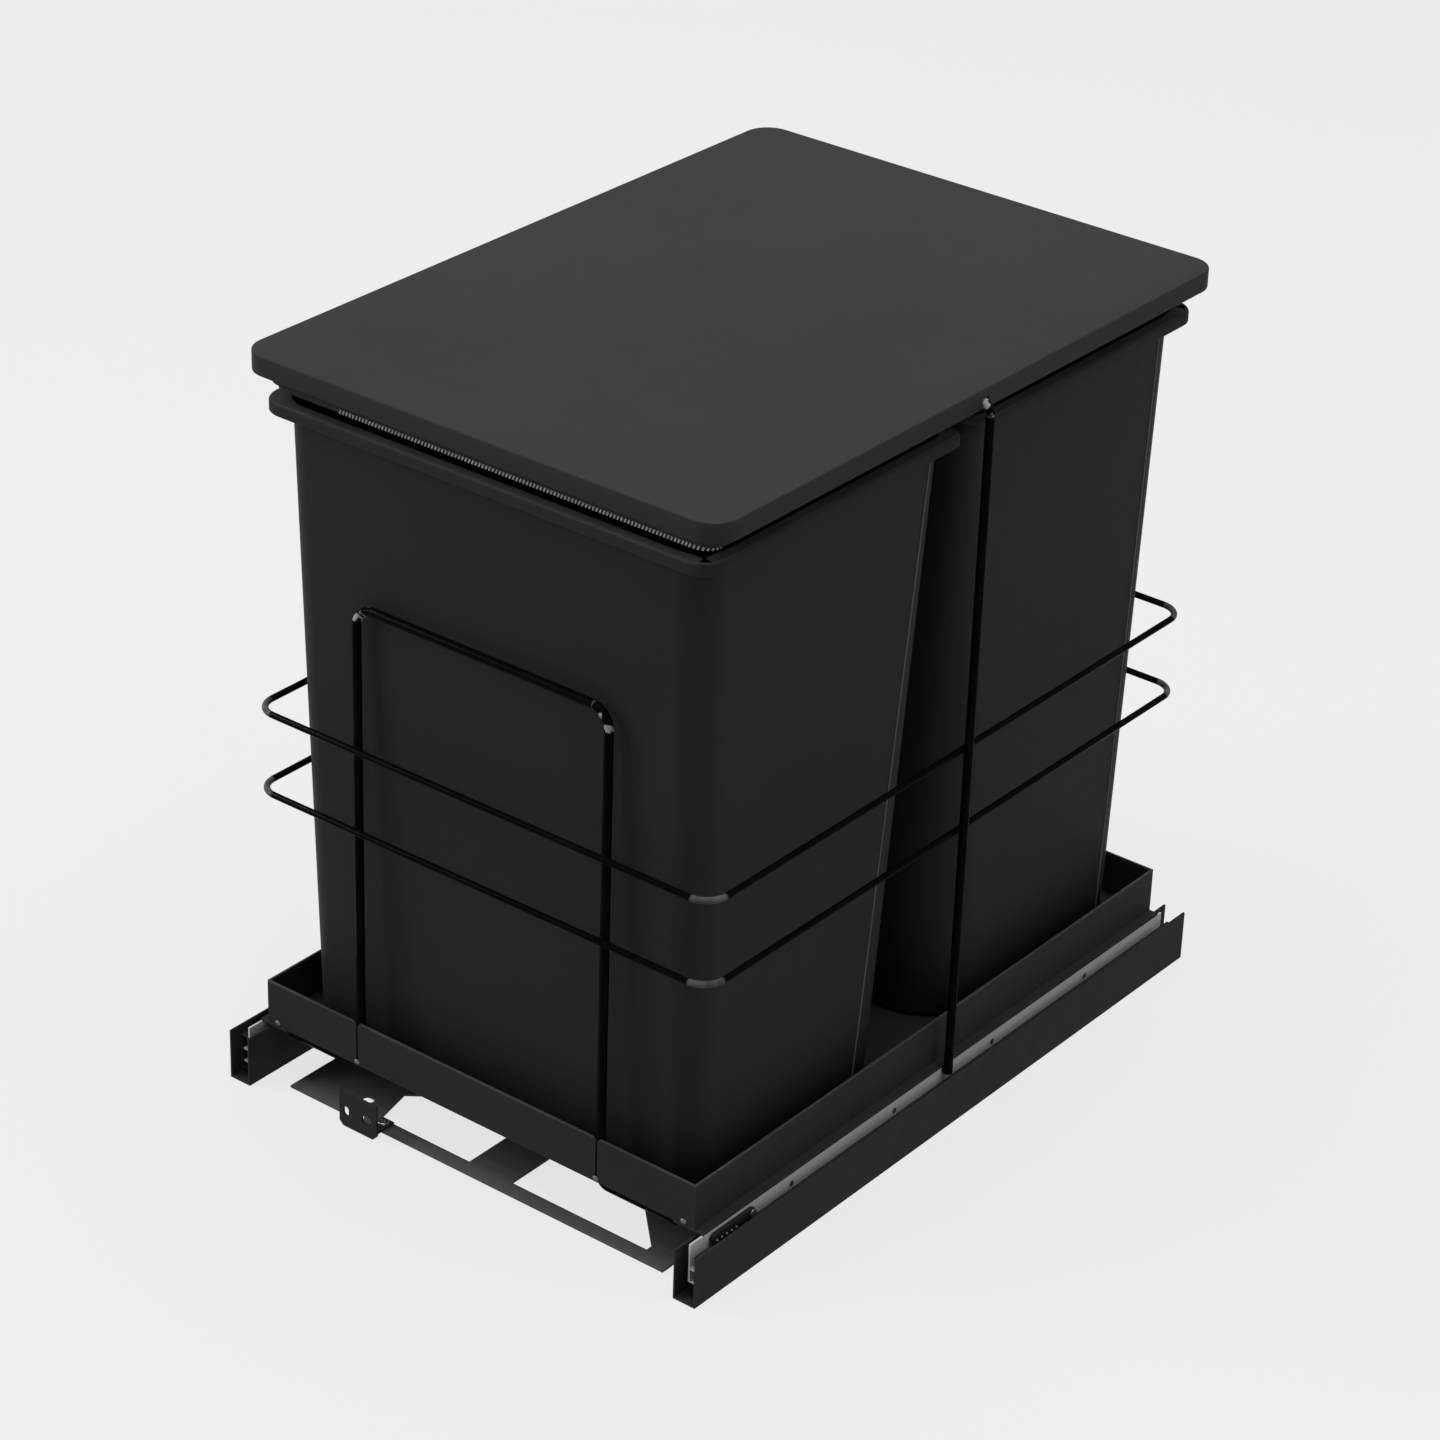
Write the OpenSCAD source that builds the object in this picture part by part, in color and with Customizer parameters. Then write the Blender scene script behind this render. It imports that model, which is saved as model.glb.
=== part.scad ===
// Pull out waste bin unit for a kitchen base cabinet.
// Two bins stand in a sheet tray that rides out of the cabinet on floor rails.
// A wire basket holds the bins, and its tall hoop carries the lid.
// X runs across, Y runs from the front to the back, Z runs up from the cabinet floor.
// The origin is the middle of the footprint, on the floor.

/* [Floor rails] */
// Width over the two floor rails
unit_w = 362; // [340:1:420]
// Length of the floor rails
rail_len = 500; // [470:1:560]
// Width of a rail channel
rail_w = 15.9; // [15.5:0.1:20]
// Height of a rail channel
rail_h = 33.5; // [32:0.1:34.5]
// Sheet of a rail channel
rail_t = 1.2; // [0.8:0.1:1.3]

/* [Runners] */
// Height of the grey drawer member's top above the floor
web_top = 36; // [35.5:0.1:44]
// Length of the drawer member
member_len = 480; // [440:1:482]
// Set back of the drawer member behind the rail's front end
member_set = 6.5; // [4:0.5:7]
// Outer height of the cabinet member
cabinet_member_h = 24.3; // [24:0.1:25]
// How far the tray slides out
travel = 450; // [400:10:460]
// Diameter of a bearing ball
ball_d = 2.5; // [2.3:0.05:2.6]
// Balls in each row
ball_count = 8; // [4:1:12]

/* [Base plate] */
// Width of the base plate
plate_w = 291; // [260:1:300]
// Thickness of the base plate
plate_t = 1.5; // [1:0.1:2.5]
// Set back of the base plate behind the rail's front end
plate_set = 15; // [12:1:30]
// Width of the bar along the plate's front and back edge
plate_bar = 10; // [8:1:16]
// Left edge of the web between the two front windows
web_left = -10; // [-20:1:0]
// Right edge of the web between the two front windows
web_right = 23; // [10:1:40]

/* [Front bracket] */
// Width of the bracket
bracket_w = 29.8; // [26:0.2:40]
// Height of the bracket
bracket_h = 24.3; // [20:0.1:30]
// Middle of the bracket across the unit
bracket_x = -81.8; // [-100:0.2:-60]

/* [Tray] */
// Set back of the tray's front behind the rail's front end
tray_set = 17.7; // [16:0.1:24]
// Gap between the tray's side and the outside of the rails
tray_side_set = 15.6; // [15:0.1:20]
// Height of the tray's walls, outside
tray_wall_h = 29.9; // [20:0.1:45]
// Sheet of the tray
tray_t = 1.2; // [0.8:0.1:2]

/* [Wire basket] */
// Diameter of the hoops' wire
hoop_d = 5.6; // [4.5:0.1:6]
// Diameter of the loops' wire
loop_d = 4; // [3:0.1:5]
// Height of the end hoops' top bar
hoop_top = 343.8; // [290:1:380]
// Distance between the legs of an end hoop
hoop_w = 185.4; // [150:0.2:220]
// Height of the upper loop
upper_loop_z = 252.9; // [230:0.5:275]
// Height of the lower loop
lower_loop_z = 199.3; // [150:0.5:215]

/* [Bins] */
// Height of a bin
bin_h = 414.9; // [380:0.1:450]
// Wall of a bin
bin_wall = 2; // [1.6:0.1:3]
// Height of the rim's side
rim_h = 7.6; // [6:0.1:12]
// Gap between the two rims
rim_gap = 7; // [6.6:0.1:10]
// How far the rim stands out from the bin's wall
rim_flange = 8.3; // [6:0.1:10]

/* [Lid] */
// Thickness of the lid's edge
lid_t = 12.4; // [11:0.1:18]
// Gap between the rims and the underside of the lid's edge
lid_gap = 15.8; // [14:0.1:22]
// Radius of the lid's corners
lid_r = 17; // [8:0.5:30]

/* [Hidden] */
$fn = 48;

// Finishes
rail_colour = [0.13, 0.135, 0.14];
plate_colour = [0.19, 0.195, 0.2];
zinc_colour = [0.58, 0.6, 0.62];
brass_colour = [0.5, 0.48, 0.42];
wire_colour = [0.04, 0.04, 0.045];
bin_colour = [0.15, 0.155, 0.16];
lid_colour = [0.24, 0.245, 0.25];
seal_colour = [0.62, 0.63, 0.64];
rubber_colour = [0.08, 0.08, 0.08];

// Clearances
overrun = 1; // past a face, so that a cut goes right through
fit_gap = 0.04; // pin or screw in its own hole
seat_gap = 0.3; // between round or soft faces that rest on each other
play = 0.1; // ball against its race

// Halves of the whole unit
half_w = unit_w / 2;
half_len = rail_len / 2;

// Runner in the right rail, from the rail's outer wall inwards
wall_in = half_w - rail_t;
cabinet_web_t = 1.1;
cabinet_web_x = wall_in - cabinet_web_t;
cage_t = 0.5;
cage_play = 0.3;
outer_cage_x = cabinet_web_x - cage_play - cage_t;
member_t = 1;
middle_web_x = outer_cage_x - cage_play - member_t;
inner_cage_t = 0.4;
cage_slack = 0.15;
inner_cage_x = middle_web_x - cage_slack - inner_cage_t;
drawer_flange_x = inner_cage_x - cage_slack;
web_t = 1.2;
drawer_flange_l = 4.2;
web_out = drawer_flange_x - drawer_flange_l;
web_in = web_out - web_t;
race_gap = ball_d + 2 * play;
cabinet_flange_x = web_out + 1.4 * member_t;
middle_flange_x = web_out + member_t;
member_lift = 1.9; // cabinet member above the rail's floor
cabinet_low = rail_t + member_lift;
cabinet_high = cabinet_low + cabinet_member_h;
middle_low = cabinet_low + member_t + race_gap;
middle_high = cabinet_high - member_t - race_gap;
drawer_low = middle_low + member_t + race_gap;
drawer_high = middle_high - member_t - race_gap;
race_x = (cabinet_flange_x + outer_cage_x) / 2;
inner_race_x = (middle_flange_x + inner_cage_x) / 2;
cabinet_member_set = 8; // from the rail's front end and its back end
middle_set = 12; // from the drawer member's front end
middle_short = 24; // middle member shorter than the drawer member
cage_set = 2; // from the middle member's ends with the tray right out
web_front = -half_len + member_set;
web_back = web_front + member_len;
middle_front = web_front + middle_set;
middle_len = member_len - middle_short;
cage_front = middle_front + travel / 4 + cage_set;
cage_len = middle_len - travel / 2 - 2 * cage_set;
ball_end = 12; // from the cage's end to the first ball

// Flush rivets that hold the cabinet members
member_rivet_r = 2.5;
member_rivet_shares = [-0.4, 0, 0.4]; // of the rail's length

// Floor screw holes in the rails
rail_in = half_w - rail_w;
floor_hole_r = 2;
floor_hole_gap = 0.1; // between a hole and the rail's inner wall
floor_hole_x = rail_in + rail_t + floor_hole_r + floor_hole_gap;
floor_hole_share = 0.43; // of the rail's length

// Ears of the base plate
ear_h = 20;
ear_l = 30;
ear_shares = [-0.3, 0, 0.3]; // of the rail's length
ear_rivet_r = 2;
ear_rivet_head = 1;
ear_rivet_z = 12;

// Windows of the base plate
plate_half = plate_w / 2;
plate_front = -half_len + plate_set;
window_l = 65; // from the front to the back of a window
left_front_x = -80.7;
left_bulge_x = -87;
left_back_x = -41;
bulge_y = 28; // widest point behind the window's front edge
right_front_x = 125.5;
right_corner = 4.5; // straight part before the slanted side
rear_window_x = 96;
notch_left = -104; // relief notch behind the bracket
notch_right = -86;
notch_lean = 7;
notch_l = 10;
plate_slot_x = -99.7;
plate_slot_y = 19.8; // behind the plate's front edge
plate_slot_r = 2.8;
plate_slot_l = 8;

// Front bracket
bracket_t = 1.5;
bracket_set = 6; // behind the rail's front end
bracket_y = -half_len + bracket_set;
bracket_chamfer = 3;
bracket_tongue_w = 9;
bracket_slot_l = 6.6;
bracket_slot_r = 2.2;
bracket_slot_x = -9.5; // from the bracket's middle
bracket_hole_l = 8.2;
bracket_hole_r = 3.2;
bracket_hole_x = 7.2; // from the bracket's middle
bracket_slot_z = 11;
bracket_screw_r = 2;
bracket_screw_head_r = 3.6;
bracket_screw_head = 1.6;
bracket_right = bracket_x + bracket_w / 2 - bracket_chamfer;
bracket_screw_x = bracket_right - bracket_tongue_w / 2;
bracket_screw_y = plate_front + plate_bar / 2;

// Rear bumpers
bumper_l = 8;
bumper_h = 22;
bumper_w = 5;

// Tray and the angles that carry it
angle_t = 1.5;
angle_leg_t = 1.2;
angle_in = 15.4; // angle's flat leg inside the tray's side
tray_half_w = half_w - tray_side_set;
tray_half_len = half_len - tray_set;
tray_low = web_top + angle_t;
tray_floor = tray_low + tray_t;
tray_high = tray_low + tray_wall_h;
slit_w = 1.5;
slit_round = 2.5;
foot_slot_gap = 0.5; // round a hoop's leg in the tray's floor
foot_slot_l = 9.5;
angle_leg_low = 12;
angle_leg_set = 30; // upright leg shorter than the flat leg at each end
angle_rivet_r = 2;
angle_rivet_head = 1.2;
angle_rivet_z = 29;
angle_rivet_shares = [-0.3, -0.1, 0.1, 0.3]; // of the rail's length
tray_screw_r = 2;
tray_screw_head_r = 3.6;
tray_screw_head = 2;
tray_nut_r = 4;
tray_nut_h = 3;
tray_screw_in = 8.2; // from the tray's side
tray_screw_shares = [-0.42, -0.14, 0.14, 0.42]; // of the rail's length

// Wire basket
hoop_r = hoop_d / 2;
loop_r = loop_d / 2;
hoop_y = tray_half_len - tray_t - hoop_r;
hoop_foot = tray_low - hoop_r;
hoop_foot_end = tray_half_w - angle_in;
hoop_foot_bend = 7;
hoop_bend = 13;
loop_x = web_out - loop_r;
loop_y = hoop_y + hoop_r + loop_r;
loop_bend = 14.5;
tall_x = web_out + hoop_r;
tall_foot = web_top - 3 * web_t;
tall_bend = 7;

// Release levers
lever_t = 2.4;
lever_side = 0.3; // beside the web
lever_low = cabinet_high + 0.5;
lever_h = 6.6;
lever_len = 40;
lever_set = 16.5; // lever's front behind the web's front end
lever_x = web_out + lever_side;
lever_front = web_front + lever_set;
lever_back = lever_front + lever_len;
lever_end_r = lever_h / 2;
lever_mid = lever_low + lever_end_r;
pivot_r = 1.5;
pivot_gap = 0.05;
pivot_y = lever_back - lever_end_r;
pivot_head_r = 2.6;
pivot_head = 0.8;
grip_count = 5;
grip_w = 1.2;
grip_h = 2;
grip_t = 0.8;
grip_pitch = 4.4;

// Bins
bin_low = tray_floor;
rim_top = bin_low + bin_h;
rim_low = rim_top - rim_h;
bin_side = 6.1; // between a rim's side and the loops
bin_over = 1.5; // rim past the tray's front
rim_half_w = loop_x - loop_r - bin_side;
rim_front = -tray_half_len - bin_over;
rim_back = -rim_gap / 2;
rim_corner = 16;
rim_inner_corner = 9;
wall_top_half_w = rim_half_w - rim_flange;
wall_top_front = rim_front + rim_flange;
wall_top_back = rim_back - rim_flange;
side_draft = 5;
end_draft = 12;
outer_corner = 20;
inner_corner_top = 12;
inner_corner_low = 40;
bin_floor = 2.5;
layer = 0.2; // thin slice that a lofted wall starts and ends with

// Lid
lid_low = rim_top + lid_gap;
lid_top = lid_low + lid_t;
lid_side = 1; // between the lid and the tall hoop's legs
lid_over = 4.2; // lid past the rims at the front and the back
lid_half_w = tall_x - hoop_r - lid_side;
lid_half_len = -rim_front + lid_over;
lid_wall = 2.2;
lid_skin = 2.4;
skirt_inset = 10;
skirt_drop = 7.9; // skirt's lower edge below the lid's edge
skirt_wall = 2;
skirt_flange = 8.6;
skirt_r = 10;
skirt_half_w = lid_half_w - skirt_inset;
skirt_half_len = lid_half_len - skirt_inset;
skirt_low = lid_low - skirt_drop;
lid_inside = lid_top - lid_skin;
bar_z = lid_low + 3.6;
bar_slot = hoop_r + seat_gap;
bar_slot_top = bar_z + hoop_r + seat_gap;
saddle_wall = 2;
rib_t = 1.6;
rib_low = lid_low + 2;
rib_shares = [-0.36, -0.24, -0.12, 0.12, 0.24, 0.36]; // of the lid's length
long_rib_shares = [-0.25, 0, 0.25]; // of the lid's width
seal_h = 3.1;
seal_w = 3;
seal_side_inset = 4;
seal_end_inset = 0.9;
seal_half_w = skirt_half_w - seal_side_inset;
seal_half_len = skirt_half_len - seal_end_inset;

// Outline with the same radius at all four corners, in the middle of the sheet
module rounded(w, l, r) {
    square([w - 2 * r, l], center = true);
    square([w, l - 2 * r], center = true);
    for (x = [-1, 1], y = [-1, 1])
        translate([x * (w / 2 - r), y * (l / 2 - r)]) circle(r);
}

// Ring between two such outlines
module rounded_ring(w, l, r, band) {
    difference() {
        rounded(w, l, r);
        rounded(w - 2 * band, l - 2 * band, max(r - band, band / 2));
    }
}

// Block from one corner to the other
module block(low, high) {
    translate(low) cube(high - low);
}

// Block on the right side, with its length along Y
module bar_of(x0, x1, y0, y1, z0, z1) {
    block([x0, y0, z0], [x1, y1, z1]);
}

// Flat slot through a sheet, drawn flat, along X
module slot_outline(l, r) {
    square([l - 2 * r, 2 * r], center = true);
    for (s = [-1, 1]) translate([s * (l / 2 - r), 0]) circle(r);
}

// Pin along X from x0 to x1
module pin_x(x0, x1, r, y, z) {
    translate([x0, y, z]) rotate([0, 90, 0]) cylinder(h = x1 - x0, r = r);
}

// Straight wire between two points
module wire(a, b, r) {
    d = b - a;
    turn = atan2(d.y, d.x);
    lean = acos(d.z / norm(d));
    translate(a) rotate([0, lean, turn]) cylinder(h = norm(d), r = r);
}

// Mirrors a right-hand piece to the left
module left_hand() {
    mirror([1, 0, 0]) children();
}

// Floor rail: U channel with holes for floor screws, flush rivets and the plate's ears
module rail() {
    color(rail_colour) difference() {
        block([rail_in, -half_len, 0], [half_w, half_len, rail_h]);
        block([rail_in + rail_t, -half_len - overrun, rail_t],
            [half_w - rail_t, half_len + overrun, rail_h + overrun]);
        for (s = [-1, 1])
            translate([floor_hole_x, s * floor_hole_share * rail_len, -overrun])
                cylinder(h = rail_t + 2 * overrun, r = floor_hole_r);
        for (share = member_rivet_shares)
            pin_x(wall_in - overrun, half_w + overrun, member_rivet_r,
                share * rail_len, (cabinet_low + cabinet_high) / 2);
        for (share = ear_shares)
            pin_x(rail_in - overrun, rail_in + rail_t + overrun, ear_rivet_r,
                share * rail_len, ear_rivet_z);
    }
}

// C-shaped runner member, open towards the middle of the unit
module c_member(web_x, web_wall, flange_x, low, high, y0, y1, wall) {
    bar_of(web_x, web_x + web_wall, y0, y1, low, high);
    bar_of(flange_x, web_x + web_wall, y0, y1, low, low + wall);
    bar_of(flange_x, web_x + web_wall, y0, y1, high - wall, high);
}

// Outer member, fixed in the rail
module cabinet_member() {
    color(zinc_colour) difference() {
        c_member(cabinet_web_x, cabinet_web_t, cabinet_flange_x, cabinet_low, cabinet_high,
            -half_len + cabinet_member_set, half_len - cabinet_member_set, member_t);
        for (share = member_rivet_shares)
            pin_x(cabinet_web_x - overrun, wall_in + overrun, member_rivet_r,
                share * rail_len, (cabinet_low + cabinet_high) / 2);
    }
}

module member_rivets() {
    color(zinc_colour) for (side = [0, 1]) mirror([side, 0, 0])
        for (share = member_rivet_shares)
            pin_x(cabinet_web_x, half_w, member_rivet_r - fit_gap,
                share * rail_len, (cabinet_low + cabinet_high) / 2);
}

// Member between the cabinet member and the drawer member
module middle_member() {
    color(zinc_colour)
        c_member(middle_web_x, member_t, middle_flange_x, middle_low, middle_high,
            middle_front, middle_front + middle_len, member_t);
}

// Heights of the two ball rows of a cage
function row_heights(low) = [low - race_gap / 2, cabinet_low + cabinet_high - low + race_gap / 2];

// Place of a ball along the runner
function ball_y(i) = cage_front + ball_end + i * (cage_len - 2 * ball_end) / (ball_count - 1);

// Cage with two shelves that hold the rows of balls
module cage(web_x, wall, shelf_x, ball_x, low) {
    rows = row_heights(low);
    color(brass_colour) difference() {
        c_member(web_x, wall, shelf_x, rows[0] - wall / 2, rows[1] + wall / 2,
            cage_front, cage_front + cage_len, wall);
        for (z = rows, i = [0 : ball_count - 1])
            translate([ball_x, ball_y(i), z - wall])
                cylinder(h = 2 * wall, r = ball_d / 2 + play);
    }
}

module balls(ball_x, low) {
    color(zinc_colour) for (z = row_heights(low), i = [0 : ball_count - 1])
        translate([ball_x, ball_y(i), z]) sphere(d = ball_d);
}

module outer_cage() {
    cage(outer_cage_x, cage_t, cabinet_flange_x + cage_t, race_x, middle_low);
}

module outer_balls() {
    balls(race_x, middle_low);
}

module inner_cage() {
    cage(inner_cage_x, inner_cage_t, middle_flange_x + cage_t, inner_race_x, drawer_low);
}

module inner_balls() {
    balls(inner_race_x, drawer_low);
}

// Grey inner member with the tall web that shows above the rail
module drawer_member() {
    color(zinc_colour) difference() {
        union() {
            bar_of(web_in, web_out, web_front, web_back, drawer_low, web_top);
            bar_of(web_out, drawer_flange_x, web_front, web_back, drawer_low, drawer_low + member_t);
            bar_of(web_out, drawer_flange_x, web_front, web_back, drawer_high - member_t, drawer_high);
        }
        for (share = angle_rivet_shares)
            pin_x(web_in - overrun, web_out + overrun, angle_rivet_r, share * rail_len, angle_rivet_z);
        pin_x(web_in - overrun, web_out + overrun, pivot_r, pivot_y, lever_mid);
    }
}

// Dark angle on the drawer member that carries the tray
module tray_angle() {
    color(rail_colour) difference() {
        union() {
            bar_of(tray_half_w - angle_in, web_out, -tray_half_len, tray_half_len, web_top, tray_low);
            bar_of(web_in - angle_leg_t, web_in, angle_leg_set - tray_half_len,
                tray_half_len - angle_leg_set, angle_leg_low, web_top);
        }
        for (share = angle_rivet_shares)
            pin_x(web_in - angle_leg_t - overrun, web_in + overrun, angle_rivet_r,
                share * rail_len, angle_rivet_z);
        for (share = tray_screw_shares)
            translate([tray_half_w - tray_screw_in, share * rail_len, web_top - overrun])
                cylinder(h = angle_t + 2 * overrun, r = tray_screw_r);
    }
}

module angle_rivets() {
    leg_in = web_in - angle_leg_t;
    color(zinc_colour) for (side = [0, 1], share = angle_rivet_shares) mirror([side, 0, 0]) {
        pin_x(leg_in, web_out, angle_rivet_r - fit_gap, share * rail_len, angle_rivet_z);
        pin_x(leg_in - angle_rivet_head, leg_in, 2 * angle_rivet_r, share * rail_len, angle_rivet_z);
    }
}

// Left front window, with its slanted back corner
module left_window() {
    front = plate_front + plate_bar;
    polygon([[web_left, front], [web_left, front + window_l], [left_back_x, front + window_l],
        [left_bulge_x, front + bulge_y], [left_front_x, front]]);
}

// Right front window, with its slanted side
module right_window() {
    front = plate_front + plate_bar;
    slant = window_l - right_corner;
    polygon([[web_right, front], [right_front_x, front], [right_front_x, front + right_corner],
        [right_front_x - slant, front + window_l], [web_right, front + window_l]]);
}

// Notch in the plate's front edge, behind the bracket
module relief_notch() {
    polygon([[notch_left, plate_front - overrun], [notch_left, plate_front],
        [notch_left - notch_lean, plate_front + notch_l], [notch_right - notch_lean, plate_front + notch_l],
        [notch_right, plate_front], [notch_right, plate_front - overrun]]);
}

module base_plate() {
    back = -plate_front - plate_bar - window_l;
    color(plate_colour) difference() {
        union() {
            linear_extrude(plate_t) difference() {
                translate([-plate_half, plate_front]) square([plate_w, -2 * plate_front]);
                left_window();
                right_window();
                relief_notch();
                translate([-rear_window_x, back]) square([rear_window_x + web_left, window_l]);
                translate([web_right, back]) square([rear_window_x - web_right, window_l]);
                translate([plate_slot_x, plate_front + plate_slot_y])
                    slot_outline(plate_slot_l, plate_slot_r);
            }
            for (side = [0, 1], share = ear_shares) mirror([side, 0, 0])
                translate([0, share * rail_len - ear_l / 2, 0]) {
                    block([plate_half - overrun, 0, 0], [rail_in, ear_l, plate_t]);
                    block([rail_in - plate_t, 0, 0], [rail_in, ear_l, ear_h]);
                }
        }
        for (side = [0, 1], share = ear_shares) mirror([side, 0, 0])
            pin_x(rail_in - plate_t - overrun, rail_in + overrun, ear_rivet_r,
                share * rail_len, ear_rivet_z);
        translate([bracket_screw_x, bracket_screw_y, -overrun])
            cylinder(h = plate_t + 2 * overrun, r = bracket_screw_r);
    }
}

module ear_rivets() {
    inner = rail_in - plate_t;
    channel = rail_in + rail_t;
    color(zinc_colour) for (side = [0, 1], share = ear_shares) mirror([side, 0, 0]) {
        pin_x(inner, channel, ear_rivet_r - fit_gap, share * rail_len, ear_rivet_z);
        pin_x(inner - ear_rivet_head, inner, 2 * ear_rivet_r, share * rail_len, ear_rivet_z);
        pin_x(channel, channel + ear_rivet_head, 2 * ear_rivet_r, share * rail_len, ear_rivet_z);
    }
}

// Upright bracket at the front, with a tongue over the base plate's front bar
module front_bracket() {
    low = bracket_x - bracket_w / 2;
    high = bracket_x + bracket_w / 2;
    color(rail_colour) difference() {
        union() {
            translate([0, bracket_y + bracket_t, 0]) rotate([90, 0, 0]) linear_extrude(bracket_t)
                polygon([[low + bracket_chamfer, 0], [high - bracket_chamfer, 0], [high, bracket_chamfer],
                    [high, bracket_h], [low, bracket_h], [low, bracket_chamfer]]);
            block([bracket_right - bracket_tongue_w, bracket_y, plate_t],
                [bracket_right, plate_front + plate_bar, plate_t + bracket_t]);
        }
        translate([bracket_x, bracket_y + bracket_t + overrun, bracket_slot_z]) rotate([90, 0, 0])
            linear_extrude(bracket_t + 2 * overrun) {
                translate([bracket_slot_x, 0]) rotate(90) slot_outline(bracket_slot_l, bracket_slot_r);
                translate([bracket_hole_x, 0]) slot_outline(bracket_hole_l, bracket_hole_r);
            }
        translate([bracket_screw_x, bracket_screw_y, 0])
            cylinder(h = plate_t + bracket_t + overrun, r = bracket_screw_r);
    }
}

module bracket_screw() {
    top = plate_t + bracket_t;
    color(zinc_colour) translate([bracket_screw_x, bracket_screw_y, 0]) {
        cylinder(h = top, r = bracket_screw_r - fit_gap);
        translate([0, 0, top]) cylinder(h = bracket_screw_head, r = bracket_screw_head_r);
    }
}

// Rubber block on the rail's floor that the drawer member stops against
module rear_bumpers() {
    y0 = web_back + seat_gap;
    color(rubber_colour) for (side = [0, 1]) mirror([side, 0, 0])
        block([rail_in + rail_t, y0, rail_t], [rail_in + rail_t + bumper_w, y0 + bumper_l, rail_t + bumper_h]);
}

// Sheet tray with a slit in front of each hoop's leg
module tray() {
    color(rail_colour) difference() {
        block([-tray_half_w, -tray_half_len, tray_low], [tray_half_w, tray_half_len, tray_high]);
        block([tray_t - tray_half_w, tray_t - tray_half_len, tray_floor],
            [tray_half_w - tray_t, tray_half_len - tray_t, tray_high + overrun]);
        for (s = [-1, 1], x = [-1, 1]) translate([x * hoop_w / 2, s * (tray_half_len - tray_t / 2), 0]) {
            block([-slit_w / 2, -tray_t, tray_floor], [slit_w / 2, tray_t, tray_high + overrun]);
            for (e = [-1, 1]) translate([e * slit_w / 2, 0, tray_high]) rotate([0, 45, 0])
                cube([slit_round, 2 * tray_t, slit_round], center = true);
        }
        for (s = [-1, 1], x = [0, 1]) mirror([x, 0, 0])
            translate([hoop_w / 2 - hoop_r - foot_slot_gap + foot_slot_l / 2, s * hoop_y, tray_low - overrun])
                linear_extrude(tray_t + 2 * overrun) slot_outline(foot_slot_l, hoop_r + foot_slot_gap);
        for (side = [-1, 1], share = tray_screw_shares)
            translate([side * (tray_half_w - tray_screw_in), share * rail_len, tray_low - overrun])
                cylinder(h = tray_t + 2 * overrun, r = tray_screw_r);
    }
}

module tray_screws() {
    color(zinc_colour) for (side = [-1, 1], share = tray_screw_shares)
        translate([side * (tray_half_w - tray_screw_in), share * rail_len, 0]) {
            translate([0, 0, web_top - tray_nut_h])
                cylinder(h = tray_floor - web_top + tray_nut_h, r = tray_screw_r - fit_gap);
            translate([0, 0, tray_floor]) cylinder(h = tray_screw_head, r = tray_screw_head_r);
        }
}

module tray_nuts() {
    color(zinc_colour) for (side = [-1, 1], share = tray_screw_shares)
        translate([side * (tray_half_w - tray_screw_in), share * rail_len, web_top - tray_nut_h])
            difference() {
                cylinder(h = tray_nut_h, r = tray_nut_r, $fn = 6);
                translate([0, 0, -overrun]) cylinder(h = tray_nut_h + 2 * overrun, r = tray_screw_r);
            }
}

// Quarter bend of wire in the XZ plane at the hoop's upper right corner
module hoop_corner(x, z, bend, r) {
    translate([x - bend, 0, z - bend]) rotate([90, 0, 0])
        rotate_extrude(angle = 90) translate([bend, 0]) circle(r);
}

// Inverted U of wire
module hoop(x, foot, top, bend, r) {
    color(wire_colour) {
        wire([bend - x, 0, top], [x - bend, 0, top], r);
        for (side = [0, 1]) mirror([side, 0, 0]) {
            wire([x, 0, foot], [x, 0, top - bend], r);
            hoop_corner(x, top, bend, r);
        }
    }
}

// End hoop: its legs pass through the tray's floor and turn outwards under it
module end_hoop(y) {
    x = hoop_w / 2;
    translate([0, y, 0]) {
        hoop(x, hoop_foot + hoop_foot_bend, hoop_top, hoop_bend, hoop_r);
        color(wire_colour) for (side = [0, 1]) mirror([side, 0, 0]) {
            translate([x + hoop_foot_bend, 0, hoop_foot + hoop_foot_bend]) rotate([90, 180, 0])
                rotate_extrude(angle = 90) translate([hoop_foot_bend, 0]) circle(hoop_r);
            wire([x + hoop_foot_bend, 0, hoop_foot], [hoop_foot_end, 0, hoop_foot], hoop_r);
        }
    }
}

module front_hoop() {
    end_hoop(-hoop_y);
}

module rear_hoop() {
    end_hoop(hoop_y);
}

// Hoop in the middle of the unit, over the gap between the bins
module tall_hoop() {
    hoop(tall_x, tall_foot, bar_z, tall_bend, hoop_r);
}

// Closed wire loop round both bins
module loop(z) {
    color(wire_colour) translate([0, 0, z]) {
        for (s = [-1, 1]) {
            wire([loop_bend - loop_x, s * loop_y, 0], [loop_x - loop_bend, s * loop_y, 0], loop_r);
            wire([s * loop_x, loop_bend - loop_y, 0], [s * loop_x, loop_y - loop_bend, 0], loop_r);
        }
        for (x = [0, 1], y = [0, 1]) mirror([x, 0, 0]) mirror([0, y, 0])
            translate([loop_x - loop_bend, loop_y - loop_bend, 0])
                rotate_extrude(angle = 90) translate([loop_bend, 0]) circle(loop_r);
    }
}

module upper_loop() {
    loop(upper_loop_z);
}

module lower_loop() {
    loop(lower_loop_z);
}

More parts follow.
